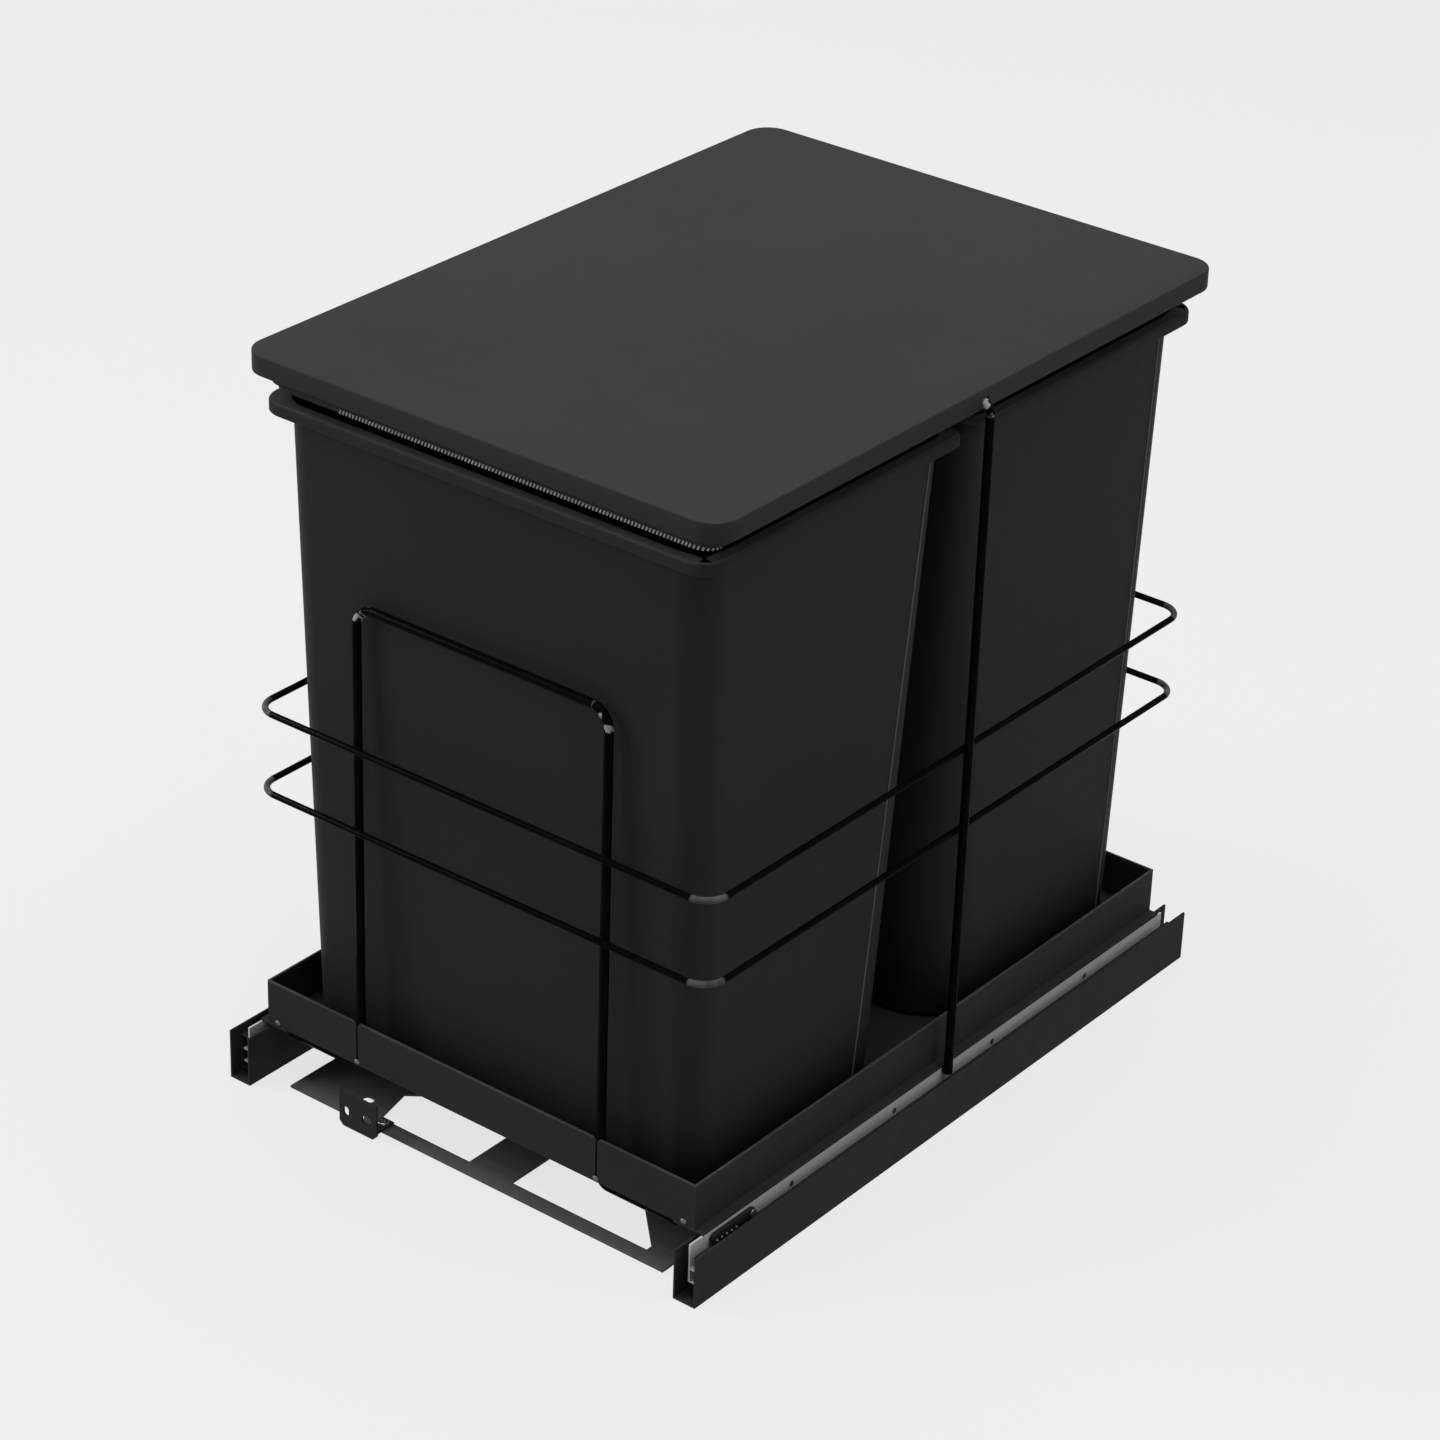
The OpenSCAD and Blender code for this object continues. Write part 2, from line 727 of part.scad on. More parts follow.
// Lever on the web's outer face, with five grip ribs along its lower edge
module release_lever() {
    color(rail_colour) difference() {
        union() {
            bar_of(lever_x, lever_x + lever_t, lever_front + lever_end_r, pivot_y,
                lever_low, lever_low + lever_h);
            pin_x(lever_x, lever_x + lever_t, lever_end_r, lever_front + lever_end_r, lever_mid);
            pin_x(lever_x, lever_x + lever_t, lever_end_r, pivot_y, lever_mid);
            for (i = [0 : grip_count - 1]) translate([lever_x + lever_t,
                lever_front + lever_end_r + i * grip_pitch, lever_low])
                block([0, 0, 0], [grip_t, grip_w, grip_h]);
        }
        pin_x(lever_x - overrun, lever_x + lever_t + overrun, pivot_r, pivot_y, lever_mid);
    }
}

module lever_pins() {
    end = lever_x + lever_t + lever_side;
    color(zinc_colour) for (side = [0, 1]) mirror([side, 0, 0]) {
        pin_x(web_in, end, pivot_r - pivot_gap, pivot_y, lever_mid);
        pin_x(end, end + pivot_head, pivot_head_r, pivot_y, lever_mid);
    }
}

// Thin slice of a bin's wall: half width, front, back and the radii of its corners
module slice(half, front, back, outer_r, inner_r) {
    linear_extrude(layer) hull() {
        for (s = [-1, 1]) {
            translate([s * (half - outer_r), front + outer_r]) circle(outer_r);
            translate([s * (half - inner_r), back - inner_r]) circle(inner_r);
        }
    }
}

// Tapered body of a bin, drawn in by a wall
module bin_body(low, high, wall) {
    hull() {
        translate([0, 0, low])
            slice(wall_top_half_w - side_draft - wall, wall_top_front + end_draft + wall,
                wall_top_back - end_draft - wall, outer_corner - wall, inner_corner_low - wall);
        translate([0, 0, high - layer])
            slice(wall_top_half_w - wall, wall_top_front + wall,
                wall_top_back - wall, outer_corner - wall, inner_corner_top - wall);
    }
}

// Rim outline, drawn in by a margin
module rim_outline(margin, outer_r, inner_r) {
    half = rim_half_w - margin;
    front = rim_front + margin;
    back = rim_back - margin;
    translate([-half, front + outer_r]) square([2 * half, back - front - outer_r - inner_r]);
    translate([-half + outer_r, front]) square([2 * (half - outer_r), back - front]);
    translate([-half + inner_r, back - inner_r]) square([2 * (half - inner_r), inner_r]);
    for (s = [-1, 1]) {
        translate([s * (half - outer_r), front + outer_r]) circle(outer_r);
        translate([s * (half - inner_r), back - inner_r]) circle(inner_r);
    }
}

// Bin: tapered walls, flat floor and a turned down rim
module bin() {
    $fn = 40;
    difference() {
        union() {
            bin_body(bin_low, rim_top, 0);
            translate([0, 0, rim_low]) linear_extrude(rim_h) rim_outline(0, rim_corner, rim_inner_corner);
        }
        translate([0, 0, rim_low - overrun]) linear_extrude(rim_h - bin_wall + overrun) difference() {
            rim_outline(bin_wall, rim_corner - bin_wall, rim_inner_corner - bin_wall);
            rim_outline(rim_flange, outer_corner, inner_corner_top);
        }
        bin_body(bin_low + bin_floor, rim_top + overrun, bin_wall);
    }
}

module bin_front() {
    color(bin_colour) bin();
}

module bin_rear() {
    color(bin_colour) mirror([0, 1, 0]) bin();
}

// Lid: hollow moulding with a skirt, ribs and a saddle over the tall hoop's bar
module lid() {
    w = 2 * lid_half_w;
    l = 2 * lid_half_len;
    color(lid_colour) difference() {
        union() {
            translate([0, 0, lid_inside]) linear_extrude(lid_skin) rounded(w, l, lid_r);
            translate([0, 0, lid_low]) linear_extrude(lid_t) rounded_ring(w, l, lid_r, lid_wall);
            translate([0, 0, skirt_low]) linear_extrude(lid_inside - skirt_low)
                rounded_ring(2 * skirt_half_w, 2 * skirt_half_len, skirt_r, skirt_wall);
            translate([0, 0, skirt_low]) linear_extrude(skirt_wall)
                rounded_ring(2 * skirt_half_w, 2 * skirt_half_len, skirt_r, skirt_flange);
            for (share = rib_shares)
                block([lid_wall / 2 - lid_half_w, share * l - rib_t / 2, rib_low],
                    [lid_half_w - lid_wall / 2, share * l + rib_t / 2, lid_inside]);
            for (share = long_rib_shares)
                block([share * w - rib_t / 2, lid_wall / 2 - lid_half_len, rib_low],
                    [share * w + rib_t / 2, lid_half_len - lid_wall / 2, lid_inside]);
            block([lid_wall / 2 - lid_half_w, -bar_slot - saddle_wall, lid_low],
                [lid_half_w - lid_wall / 2, bar_slot + saddle_wall, lid_inside]);
        }
        block([-lid_half_w - overrun, -bar_slot, skirt_low - overrun],
            [lid_half_w + overrun, bar_slot, bar_slot_top]);
    }
}

// Half of the soft seal under the lid's skirt, in front of the tall hoop's bar
module seal_half() {
    color(seal_colour) intersection() {
        translate([0, 0, skirt_low - seal_h]) linear_extrude(seal_h)
            rounded_ring(2 * seal_half_w, 2 * seal_half_len, skirt_r, seal_w);
        block([-lid_half_w, -lid_half_len, 0], [lid_half_w, -bar_slot, lid_top]);
    }
}

module seal_front() {
    seal_half();
}

module seal_rear() {
    mirror([0, 1, 0]) seal_half();
}

left_hand() rail();  // rail_left
rail();  // rail_right
left_hand() cabinet_member();  // cabinet_member_left
cabinet_member();  // cabinet_member_right
member_rivets();
base_plate();
ear_rivets();
front_bracket();
bracket_screw();
rear_bumpers();
left_hand() outer_cage();  // outer_cage_left
outer_cage();  // outer_cage_right
left_hand() outer_balls();  // outer_balls_left
outer_balls();  // outer_balls_right
left_hand() middle_member();  // middle_member_left
middle_member();  // middle_member_right
left_hand() inner_cage();  // inner_cage_left
inner_cage();  // inner_cage_right
left_hand() inner_balls();  // inner_balls_left
inner_balls();  // inner_balls_right
left_hand() drawer_member();  // drawer_member_left
drawer_member();  // drawer_member_right
left_hand() tray_angle();  // tray_angle_left
tray_angle();  // tray_angle_right
angle_rivets();
tray();
tray_screws();
tray_nuts();
front_hoop();
rear_hoop();
tall_hoop();
upper_loop();
lower_loop();
lever_pins();
left_hand() release_lever();  // release_lever_left
release_lever();  // release_lever_right
bin_front();
bin_rear();
lid();
seal_front();
seal_rear();
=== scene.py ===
import math

import bmesh
import bpy
from mathutils import Matrix, Vector


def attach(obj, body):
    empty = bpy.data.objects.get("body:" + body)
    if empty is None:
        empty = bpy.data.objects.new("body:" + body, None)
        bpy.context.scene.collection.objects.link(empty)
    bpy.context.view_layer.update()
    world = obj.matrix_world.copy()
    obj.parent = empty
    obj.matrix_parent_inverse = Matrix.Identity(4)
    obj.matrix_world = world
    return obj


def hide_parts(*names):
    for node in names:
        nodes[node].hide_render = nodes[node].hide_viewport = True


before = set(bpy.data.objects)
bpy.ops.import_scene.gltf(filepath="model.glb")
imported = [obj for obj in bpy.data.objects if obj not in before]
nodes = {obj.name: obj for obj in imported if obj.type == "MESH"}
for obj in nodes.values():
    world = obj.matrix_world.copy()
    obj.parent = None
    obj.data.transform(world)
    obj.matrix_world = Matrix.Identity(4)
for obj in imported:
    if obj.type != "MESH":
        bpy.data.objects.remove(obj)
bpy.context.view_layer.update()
mm = 0.001
print("frame loaded:", len(nodes), "nodes")


def clearSelection():
    if bpy.context.mode != "OBJECT":
        bpy.ops.object.mode_set(mode="OBJECT")
    bpy.ops.object.select_all(action="DESELECT")


def pick(obj):
    clearSelection()
    obj.select_set(True)
    bpy.context.view_layer.objects.active = obj


def newPiece(name):
    # an empty mesh at the origin, left in edit mode
    clearSelection()
    bpy.ops.mesh.primitive_plane_add(size=1, location=(0, 0, 0))
    piece = bpy.context.active_object
    piece.name = name
    piece.data.name = name
    bpy.ops.object.mode_set(mode="EDIT")
    bpy.ops.mesh.select_all(action="SELECT")
    bpy.ops.mesh.delete(type="VERT")
    return piece


closeWeld = 0.0000001  # for pieces whose separate parts nearly touch


def endPiece(piece, smooth=35, weld=0.00001):
    # merges double points, turns the faces outwards and sets the smooth angle
    bpy.ops.mesh.select_all(action="SELECT")
    bpy.ops.mesh.remove_doubles(threshold=weld)
    bpy.ops.mesh.normals_make_consistent(inside=False)
    bpy.ops.object.mode_set(mode="OBJECT")
    pick(piece)
    bpy.ops.object.shade_smooth_by_angle(angle=math.radians(smooth))
    clearSelection()
    return piece


def near(value, target):
    return abs(value - target) < 0.001 * mm


def selectWhere(piece, test):
    # selects the points of the piece in edit mode that the test accepts
    mesh = bmesh.from_edit_mesh(piece.data)
    for v in mesh.verts:
        v.select = bool(test(v.co))
    mesh.select_flush(True)
    mesh.select_flush(False)
    bmesh.update_edit_mesh(piece.data)


def selectUngrouped(piece):
    # selects the points that belong to no vertex group yet
    mesh = bmesh.from_edit_mesh(piece.data)
    groups = mesh.verts.layers.deform.active
    for v in mesh.verts:
        v.select = not groups or not v[groups]
    mesh.select_flush(True)
    bmesh.update_edit_mesh(piece.data)


def addRing(piece, ring, steps):
    # rounded four-cornered outline, in millimetres, kept as a vertex group of its own
    x = ring["half"] * mm
    front, back, z = ring["front"] * mm, ring["back"] * mm, ring["z"] * mm
    middle = (0, (front + back) / 2, z)
    bpy.ops.mesh.select_all(action="DESELECT")
    bpy.ops.mesh.primitive_plane_add(size=2, location=middle)
    bpy.ops.transform.resize(value=(x, (back - front) / 2, 1), center_override=middle)
    for y, radius in ((front, ring["frontR"] * mm), (back, ring["backR"] * mm)):
        selectWhere(piece, lambda co: near(abs(co.x), x) and near(co.y, y) and near(co.z, z))
        bpy.ops.mesh.bevel(affect="VERTICES", offset=radius, segments=steps, profile=0.5)
    selectUngrouped(piece)
    bpy.ops.mesh.delete(type="ONLY_FACE")
    selectUngrouped(piece)
    bpy.ops.object.vertex_group_assign_new()


def chooseRings(piece, numbers):
    bpy.ops.mesh.select_all(action="DESELECT")
    for n in numbers:
        piece.vertex_groups.active_index = n
        bpy.ops.object.vertex_group_select()


def loftRings(piece, rings, steps=9, caps=True, closed=False):
    for ring in rings:
        addRing(piece, ring, steps)
    pairs = [(n, n + 1) for n in range(len(rings) - 1)] + ([(len(rings) - 1, 0)] if closed else [])
    for pair in pairs:
        chooseRings(piece, pair)
        bpy.ops.mesh.bridge_edge_loops()
    if caps:
        for n in (0, len(rings) - 1):
            chooseRings(piece, [n])
            bpy.ops.mesh.edge_face_add()
    bpy.ops.object.mode_set(mode="OBJECT")
    piece.vertex_groups.clear()
    bpy.ops.object.mode_set(mode="EDIT")


def copyMirrored(piece, name, axis):
    # a copy with its own mesh, mirrored through the origin
    pick(piece)
    bpy.ops.object.duplicate()
    twin = bpy.context.active_object
    twin.name = name
    twin.data.name = name
    bpy.ops.object.mode_set(mode="EDIT")
    bpy.ops.mesh.select_all(action="SELECT")
    turn = [-1 if axis == a else 1 for a in "XYZ"]
    bpy.ops.transform.resize(value=turn, center_override=(0, 0, 0))
    bpy.ops.mesh.normals_make_consistent(inside=False)
    bpy.ops.object.mode_set(mode="OBJECT")
    clearSelection()
    return twin


def addBlock(lowCorner, highCorner, edge=0.0, steps=2):
    # a box between two corners, in millimetres, with its edges rounded
    bpy.ops.mesh.select_all(action="DESELECT")
    middle = [(a + b) / 2 * mm for a, b in zip(lowCorner, highCorner)]
    bpy.ops.mesh.primitive_cube_add(size=1, location=middle)
    bpy.ops.transform.resize(value=[(b - a) * mm for a, b in zip(lowCorner, highCorner)], center_override=middle)
    if edge:
        bpy.ops.mesh.bevel(offset=edge * mm, segments=steps, affect="EDGES")


def cutWith(piece, cutter):
    # takes the cutter out of the piece, also where the cutter's blocks overlap
    pick(piece)
    cut = piece.modifiers.new("cut", "BOOLEAN")
    cut.object = cutter
    cut.solver = "EXACT"
    cut.use_self = True
    bpy.ops.object.modifier_apply(modifier="cut")
    bpy.data.objects.remove(cutter)


def fit(piece, body, slot, material, *replaced):
    # gives the piece its finish and its body, and hides the nodes that it stands for; the slot is not used
    piece.data.materials.clear()
    piece.data.materials.append(material)
    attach(piece, body)
    if replaced:
        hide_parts(*replaced)


def startMaterial(name):
    material = bpy.data.materials.new(name)
    material.use_nodes = True
    tree = material.node_tree
    shader = tree.nodes["Principled BSDF"]
    place = tree.nodes.new("ShaderNodeTexCoord")
    return material, tree, shader, place.outputs["Object"]


def noise(tree, place, scale, detail=4.0, rough=0.55, stretch=None):
    source = place
    if stretch:
        mapping = tree.nodes.new("ShaderNodeMapping")
        mapping.inputs["Scale"].default_value = stretch
        tree.links.new(place, mapping.inputs["Vector"])
        source = mapping.outputs["Vector"]
    node = tree.nodes.new("ShaderNodeTexNoise")
    node.inputs["Scale"].default_value = scale
    node.inputs["Detail"].default_value = detail
    node.inputs["Roughness"].default_value = rough
    tree.links.new(source, node.inputs["Vector"])
    return node.outputs["Fac"]


def remap(tree, value, low, high, start=0.3, end=0.7):
    node = tree.nodes.new("ShaderNodeMapRange")
    node.inputs["From Min"].default_value = start
    node.inputs["From Max"].default_value = end
    node.inputs["To Min"].default_value = low
    node.inputs["To Max"].default_value = high
    tree.links.new(value, node.inputs["Value"])
    return node.outputs["Result"]


def tint(tree, value, low, high, start=0.35, end=0.65):
    node = tree.nodes.new("ShaderNodeValToRGB")
    node.color_ramp.elements[0].position = start
    node.color_ramp.elements[1].position = end
    node.color_ramp.elements[0].color = (*low, 1)
    node.color_ramp.elements[1].color = (*high, 1)
    tree.links.new(value, node.inputs["Fac"])
    return node.outputs["Color"]


def relief(tree, value, shader, strength, depth, edge=0.0):
    bump = tree.nodes.new("ShaderNodeBump")
    bump.inputs["Strength"].default_value = strength
    bump.inputs["Distance"].default_value = depth
    tree.links.new(value, bump.inputs["Height"])
    if edge:
        soft = tree.nodes.new("ShaderNodeBevel")
        soft.samples = 4
        soft.inputs["Radius"].default_value = edge
        tree.links.new(soft.outputs["Normal"], bump.inputs["Normal"])
    tree.links.new(bump.outputs["Normal"], shader.inputs["Normal"])


def joined(tree, first, second, how="ADD"):
    node = tree.nodes.new("ShaderNodeMath")
    node.operation = how
    tree.links.new(first, node.inputs[0])
    tree.links.new(second, node.inputs[1])
    return node.outputs["Value"]


def edgeMask(tree, radius, amount):
    # zero on flat ground, up to the amount where the cosine between the rounded and true normals falls to 0.86
    soft = tree.nodes.new("ShaderNodeBevel")
    soft.samples = 4
    soft.inputs["Radius"].default_value = radius
    true = tree.nodes.new("ShaderNodeNewGeometry")
    turn = tree.nodes.new("ShaderNodeVectorMath")
    turn.operation = "DOT_PRODUCT"
    tree.links.new(soft.outputs["Normal"], turn.inputs[0])
    tree.links.new(true.outputs["Normal"], turn.inputs[1])
    return remap(tree, turn.outputs["Value"], amount, 0.0, 0.86, 0.99)


def heightMask(tree, place, low, high, amount):
    split = tree.nodes.new("ShaderNodeSeparateXYZ")
    tree.links.new(place, split.inputs[0])
    return remap(tree, split.outputs["Z"], 0.0, amount, low * mm, high * mm)


def cornerMask(tree, place, bounds):
    # rises from zero to one between the bounds, which are distances from the middle in millimetres
    away = tree.nodes.new("ShaderNodeVectorMath")
    away.operation = "ABSOLUTE"
    tree.links.new(place, away.inputs[0])
    split = tree.nodes.new("ShaderNodeSeparateXYZ")
    tree.links.new(away.outputs["Vector"], split.inputs[0])
    value = None
    for axis, (low, high) in bounds.items():
        part = remap(tree, split.outputs[axis], 0.0, 1.0, low * mm, high * mm)
        value = joined(tree, value, part, "MULTIPLY") if value else part
    return value


def wornAndLitTint(tree, cloud, masks, tones):
    # the cloud runs through the ramp's first half, and edge wear with the painted light of the rim band pushes it
    # into the second
    value = remap(tree, cloud, 0.0, 0.4)
    for mask in masks:
        value = joined(tree, value, mask)
    node = tree.nodes.new("ShaderNodeValToRGB")
    ramp = node.color_ramp
    ramp.elements[0].position, ramp.elements[0].color = 0.0, (*tones["dark"], 1)
    ramp.elements[1].position, ramp.elements[1].color = 0.4, (*tones["light"], 1)
    last = ramp.elements.new(0.9)
    last.color = (*tones["wornAndLit"], 1)
    tree.links.new(value, node.inputs["Fac"])
    return node.outputs["Color"]


# what all plastics share, and what all powder coats share: noise as scale, detail and roughness
plastic = {
    "cloud": 9, "wear": (60, 5, 0.6), "grain": (1400, 2, 0.5), "relief": {"strength": 0.2, "depth": 0.00004},
    "edge": 0.0008, "edgeWear": 0.3, "rimPaintedLight": 0.5, "specular": 0.02,
}
paint = {
    "cloud": 14, "wear": (90, 4, 0.6), "grain": (900, 2, 0.5),
    "relief": {"strength": 0.3, "depth": 0.00008, "edge": 0.0005},
    "edge": 0.0009, "edgeWear": 0.5, "rimPaintedLight": 0.5, "specular": 0.02,
}


def coated(name, family, tones):
    # clouded colour that is worn at the edges, and lightened at the rim with painted light if its heights are given
    # in millimetres
    material, tree, shader, place = startMaterial(name)
    cloud = noise(tree, place, family["cloud"], 3)
    masks = [edgeMask(tree, family["edge"], family["edgeWear"])]
    if "rim" in tones:
        masks.append(heightMask(tree, place, *tones["rim"], family["rimPaintedLight"]))
    tree.links.new(wornAndLitTint(tree, cloud, masks, tones), shader.inputs["Base Color"])
    wear = noise(tree, place, *family["wear"])
    tree.links.new(remap(tree, wear, *tones["rough"]), shader.inputs["Roughness"])
    relief(tree, noise(tree, place, *family["grain"]), shader, **family["relief"])
    shader.inputs["Specular IOR Level"].default_value = family["specular"]
    return material


# the bin's top tone serves both edge wear and painted light on the rim's upper band, which the lid keeps in shade
binPlastic = coated("binPlastic", plastic, {
    "dark": (0.0118, 0.0129, 0.0138), "light": (0.0130, 0.0141, 0.0150), "wornAndLit": (0.040, 0.042, 0.044),
    "rough": (0.48, 0.54), "rim": (452.6, 453.4)})
lidPlastic = coated("lidPlastic", plastic, {
    "dark": (0.0150, 0.0157, 0.0163), "light": (0.0163, 0.0169, 0.0175), "wornAndLit": (0.021, 0.022, 0.023),
    "rough": (0.44, 0.49)})
leverPlastic = coated("leverPlastic", plastic, {
    "dark": (0.010, 0.010, 0.011), "light": (0.014, 0.014, 0.015), "wornAndLit": (0.03, 0.03, 0.03),
    "rough": (0.42, 0.55)})
gripGlintPlastic = coated("gripGlintPlastic", plastic, {
    "dark": (0.12, 0.12, 0.12), "light": (0.16, 0.16, 0.16), "wornAndLit": (0.2, 0.2, 0.2), "rough": (0.42, 0.55)})
seamHighlightPlastic = coated("seamHighlightPlastic", plastic, {
    "dark": (0.050, 0.051, 0.052), "light": (0.066, 0.067, 0.068), "wornAndLit": (0.08, 0.08, 0.08),
    "rough": (0.42, 0.55)})
railPaint = coated("railPaint", paint, {
    "dark": (0.0130, 0.0137, 0.0143), "light": (0.0145, 0.0152, 0.0158), "wornAndLit": (0.024, 0.025, 0.026),
    "rough": (0.42, 0.55)})
# the tray's top tone serves both edge wear and a painted highlight along the top edge of its walls
trayPaint = coated("trayPaint", paint, {
    "dark": (0.0130, 0.0137, 0.0143), "light": (0.0145, 0.0152, 0.0158), "wornAndLit": (0.036, 0.038, 0.039),
    "rough": (0.42, 0.55), "rim": (66.1, 66.6)})
# painted light: the plate's paint is several times lighter than the rails', standing in for the light the tray
# keeps off it
plateLightenedPaint = coated("plateLightenedPaint", paint, {
    "dark": (0.044, 0.046, 0.048), "light": (0.049, 0.051, 0.053), "wornAndLit": (0.060, 0.062, 0.064),
    "rough": (0.45, 0.58)})

# black paint with painted highlights: grey over the bends of the loops, and pale spots where the hoops bend
wireLook = {
    "ramp": ((0.0, 0.0010), (0.1, 0.0020), (0.5, 0.052), (1.0, 0.16)), "cool": 1.03,
    "loop": {"X": (155.8, 157.2), "Y": (219.2, 220.6)},
    "hoop": {"X": (82.0, 83.0), "Y": (200.0, 205.0), "Z": (330.6, 331.4)},
    "tall": {"X": (166.0, 168.0), "Z": (465.5, 467.0)},
    "bendHighlight": 110, "bendGlints": 150, "cloud": 40, "wear": 160, "rough": (0.05, 0.11),
    "peel": 700, "peelStrength": 0.05, "peelDepth": 0.00004, "specular": 0.008,
}
wirePaint, tree, shader, place = startMaterial("wirePaint")
bendHighlight = remap(tree, noise(tree, place, wireLook["bendHighlight"], 3), 0.26, 0.5)
bendGlints = remap(tree, noise(tree, place, wireLook["bendGlints"], 2), 0.0, 1.0, 0.50, 0.58)
# wear here carries the painted highlights of the bends, plus a faint cloud of tone
wear = joined(tree, cornerMask(tree, place, wireLook["loop"]), bendHighlight, "MULTIPLY")
for bend in ("hoop", "tall"):
    wear = joined(tree, wear, joined(tree, cornerMask(tree, place, wireLook[bend]), bendGlints, "MULTIPLY"))
wear = joined(tree, wear, remap(tree, noise(tree, place, wireLook["cloud"], 3), 0.0, 0.1))
colour = tree.nodes.new("ShaderNodeValToRGB")
for n, (at, grey) in enumerate(wireLook["ramp"]):
    step = colour.color_ramp.elements[n] if n < 2 else colour.color_ramp.elements.new(at)
    step.position, step.color = at, (grey, grey, grey * wireLook["cool"], 1)
tree.links.new(wear, colour.inputs["Fac"])
tree.links.new(colour.outputs["Color"], shader.inputs["Base Color"])
gloss = remap(tree, noise(tree, place, wireLook["wear"], 3), *wireLook["rough"])
tree.links.new(gloss, shader.inputs["Roughness"])
relief(tree, noise(tree, place, wireLook["peel"], 2), shader, wireLook["peelStrength"], wireLook["peelDepth"])
shader.inputs["Specular IOR Level"].default_value = wireLook["specular"]

steelSet = {"cloud": 60, "brush": 3, "stretch": (120, 1, 400), "strength": 0.08, "depth": 0.00005}


def steel(name, dark, light, rough, brushed=False, metal=1.0, edge=0.0003):
    material, tree, shader, place = startMaterial(name)
    if brushed:
        grain = noise(tree, place, steelSet["brush"], 5, 0.6, steelSet["stretch"])
    else:
        grain = noise(tree, place, steelSet["cloud"], 5, 0.6)
    tree.links.new(tint(tree, grain, dark, light, 0.3, 0.7), shader.inputs["Base Color"])
    tree.links.new(remap(tree, grain, *rough), shader.inputs["Roughness"])
    relief(tree, grain, shader, steelSet["strength"], steelSet["depth"], edge)
    shader.inputs["Metallic"].default_value = metal
    return material


# lit and shaded copies of one zinc: the drawer members' light diffuse grey is painted light for the shaded gap by
# the tray, and the middle members' darker grey is painted shade
litRunnerZinc = steel("litRunnerZinc", (0.28, 0.285, 0.29), (0.34, 0.345, 0.35), (0.34, 0.46), brushed=True, metal=0.15)
shadedMiddleZinc = steel("shadedMiddleZinc", (0.085, 0.087, 0.09), (0.11, 0.112, 0.115), (0.36, 0.48), brushed=True, metal=0.3)
weldGlintSteel = steel("weldGlintSteel", (0.05, 0.05, 0.05), (0.09, 0.09, 0.09), (0.3, 0.5), metal=0.3)
fastenerZinc = steel("fastenerZinc", (0.30, 0.31, 0.32), (0.42, 0.43, 0.44), (0.28, 0.42))
cageSteel = steel("cageSteel", (0.26, 0.25, 0.22), (0.36, 0.34, 0.30), (0.35, 0.5))
ballSteel = steel("ballSteel", (0.55, 0.55, 0.56), (0.62, 0.62, 0.63), (0.08, 0.14), edge=0)


def rubber(name, tones):
    material, tree, shader, place = startMaterial(name)
    cloud = noise(tree, place, tones["cloud"], 4)
    tree.links.new(tint(tree, cloud, tones["dark"], tones["light"]), shader.inputs["Base Color"])
    wear = noise(tree, place, tones["wear"], 3)
    tree.links.new(remap(tree, wear, *tones["rough"]), shader.inputs["Roughness"])
    relief(tree, noise(tree, place, *tones["grain"]), shader, **tones["relief"])
    shader.inputs["Specular IOR Level"].default_value = tones["specular"]
    return material


bumperRubber = rubber("bumperRubber", {
    "dark": (0.006, 0.006, 0.006), "light": (0.011, 0.011, 0.011), "rough": (0.7, 0.85), "specular": 0.2,
    "cloud": 50, "wear": 200, "grain": (500, 3), "relief": {"strength": 0.3, "depth": 0.0001, "edge": 0.0006}})
stripRubber = rubber("stripRubber", {
    "dark": (0.010, 0.010, 0.011), "light": (0.016, 0.016, 0.017), "rough": (0.55, 0.7), "specular": 0.1,
    "cloud": 60, "wear": 220, "grain": (700, 2), "relief": {"strength": 0.25, "depth": 0.00005}})
sealRubber = rubber("sealRubber", {
    "dark": (0.17, 0.175, 0.18), "light": (0.27, 0.275, 0.28), "rough": (0.5, 0.68), "specular": 0.3,
    "cloud": 80, "wear": 250, "grain": (900, 2), "relief": {"strength": 0.25, "depth": 0.00005}})

# the nodes that show as they are, by the finish they get
finishes = (
    (railPaint, ("rail_left", "rail_right", "member_rivets", "front_bracket", "tray_angle_left", "tray_angle_right",
                 "cabinet_member_left", "cabinet_member_right")),
    (trayPaint, ("tray",)),
    (plateLightenedPaint, ("base_plate",)),
    (litRunnerZinc, ("drawer_member_left", "drawer_member_right")),
    (shadedMiddleZinc, ("middle_member_left", "middle_member_right")),
    (fastenerZinc, ("angle_rivets", "tray_nuts", "lever_pins")),
    (cageSteel, ("outer_cage_left", "outer_cage_right", "inner_cage_left", "inner_cage_right")),
    (ballSteel, ("outer_balls_left", "outer_balls_right", "inner_balls_left", "inner_balls_right")),
)
for material, names in finishes:
    for name in names:
        nodes[name].data.materials.clear()
        nodes[name].data.materials.append(material)
print("finishes assigned")


binSet = {
    "low": 38.7, "top": 453.6, "half": 148.3, "front": -213.5, "back": -23.8,
    "sideDraft": 5.0, "endDraft": 12.0, "frontR": 20.0, "backR": 40.0, "backRDraft": -28.0,
    "rimHalf": 161.6, "rimFront": -233.8, "rimBack": -3.5, "rimFrontR": 16.0, "rimBackR": 9.0, "rimLow": 446.0,
    "wall": 2.0, "floor": 2.5,
}


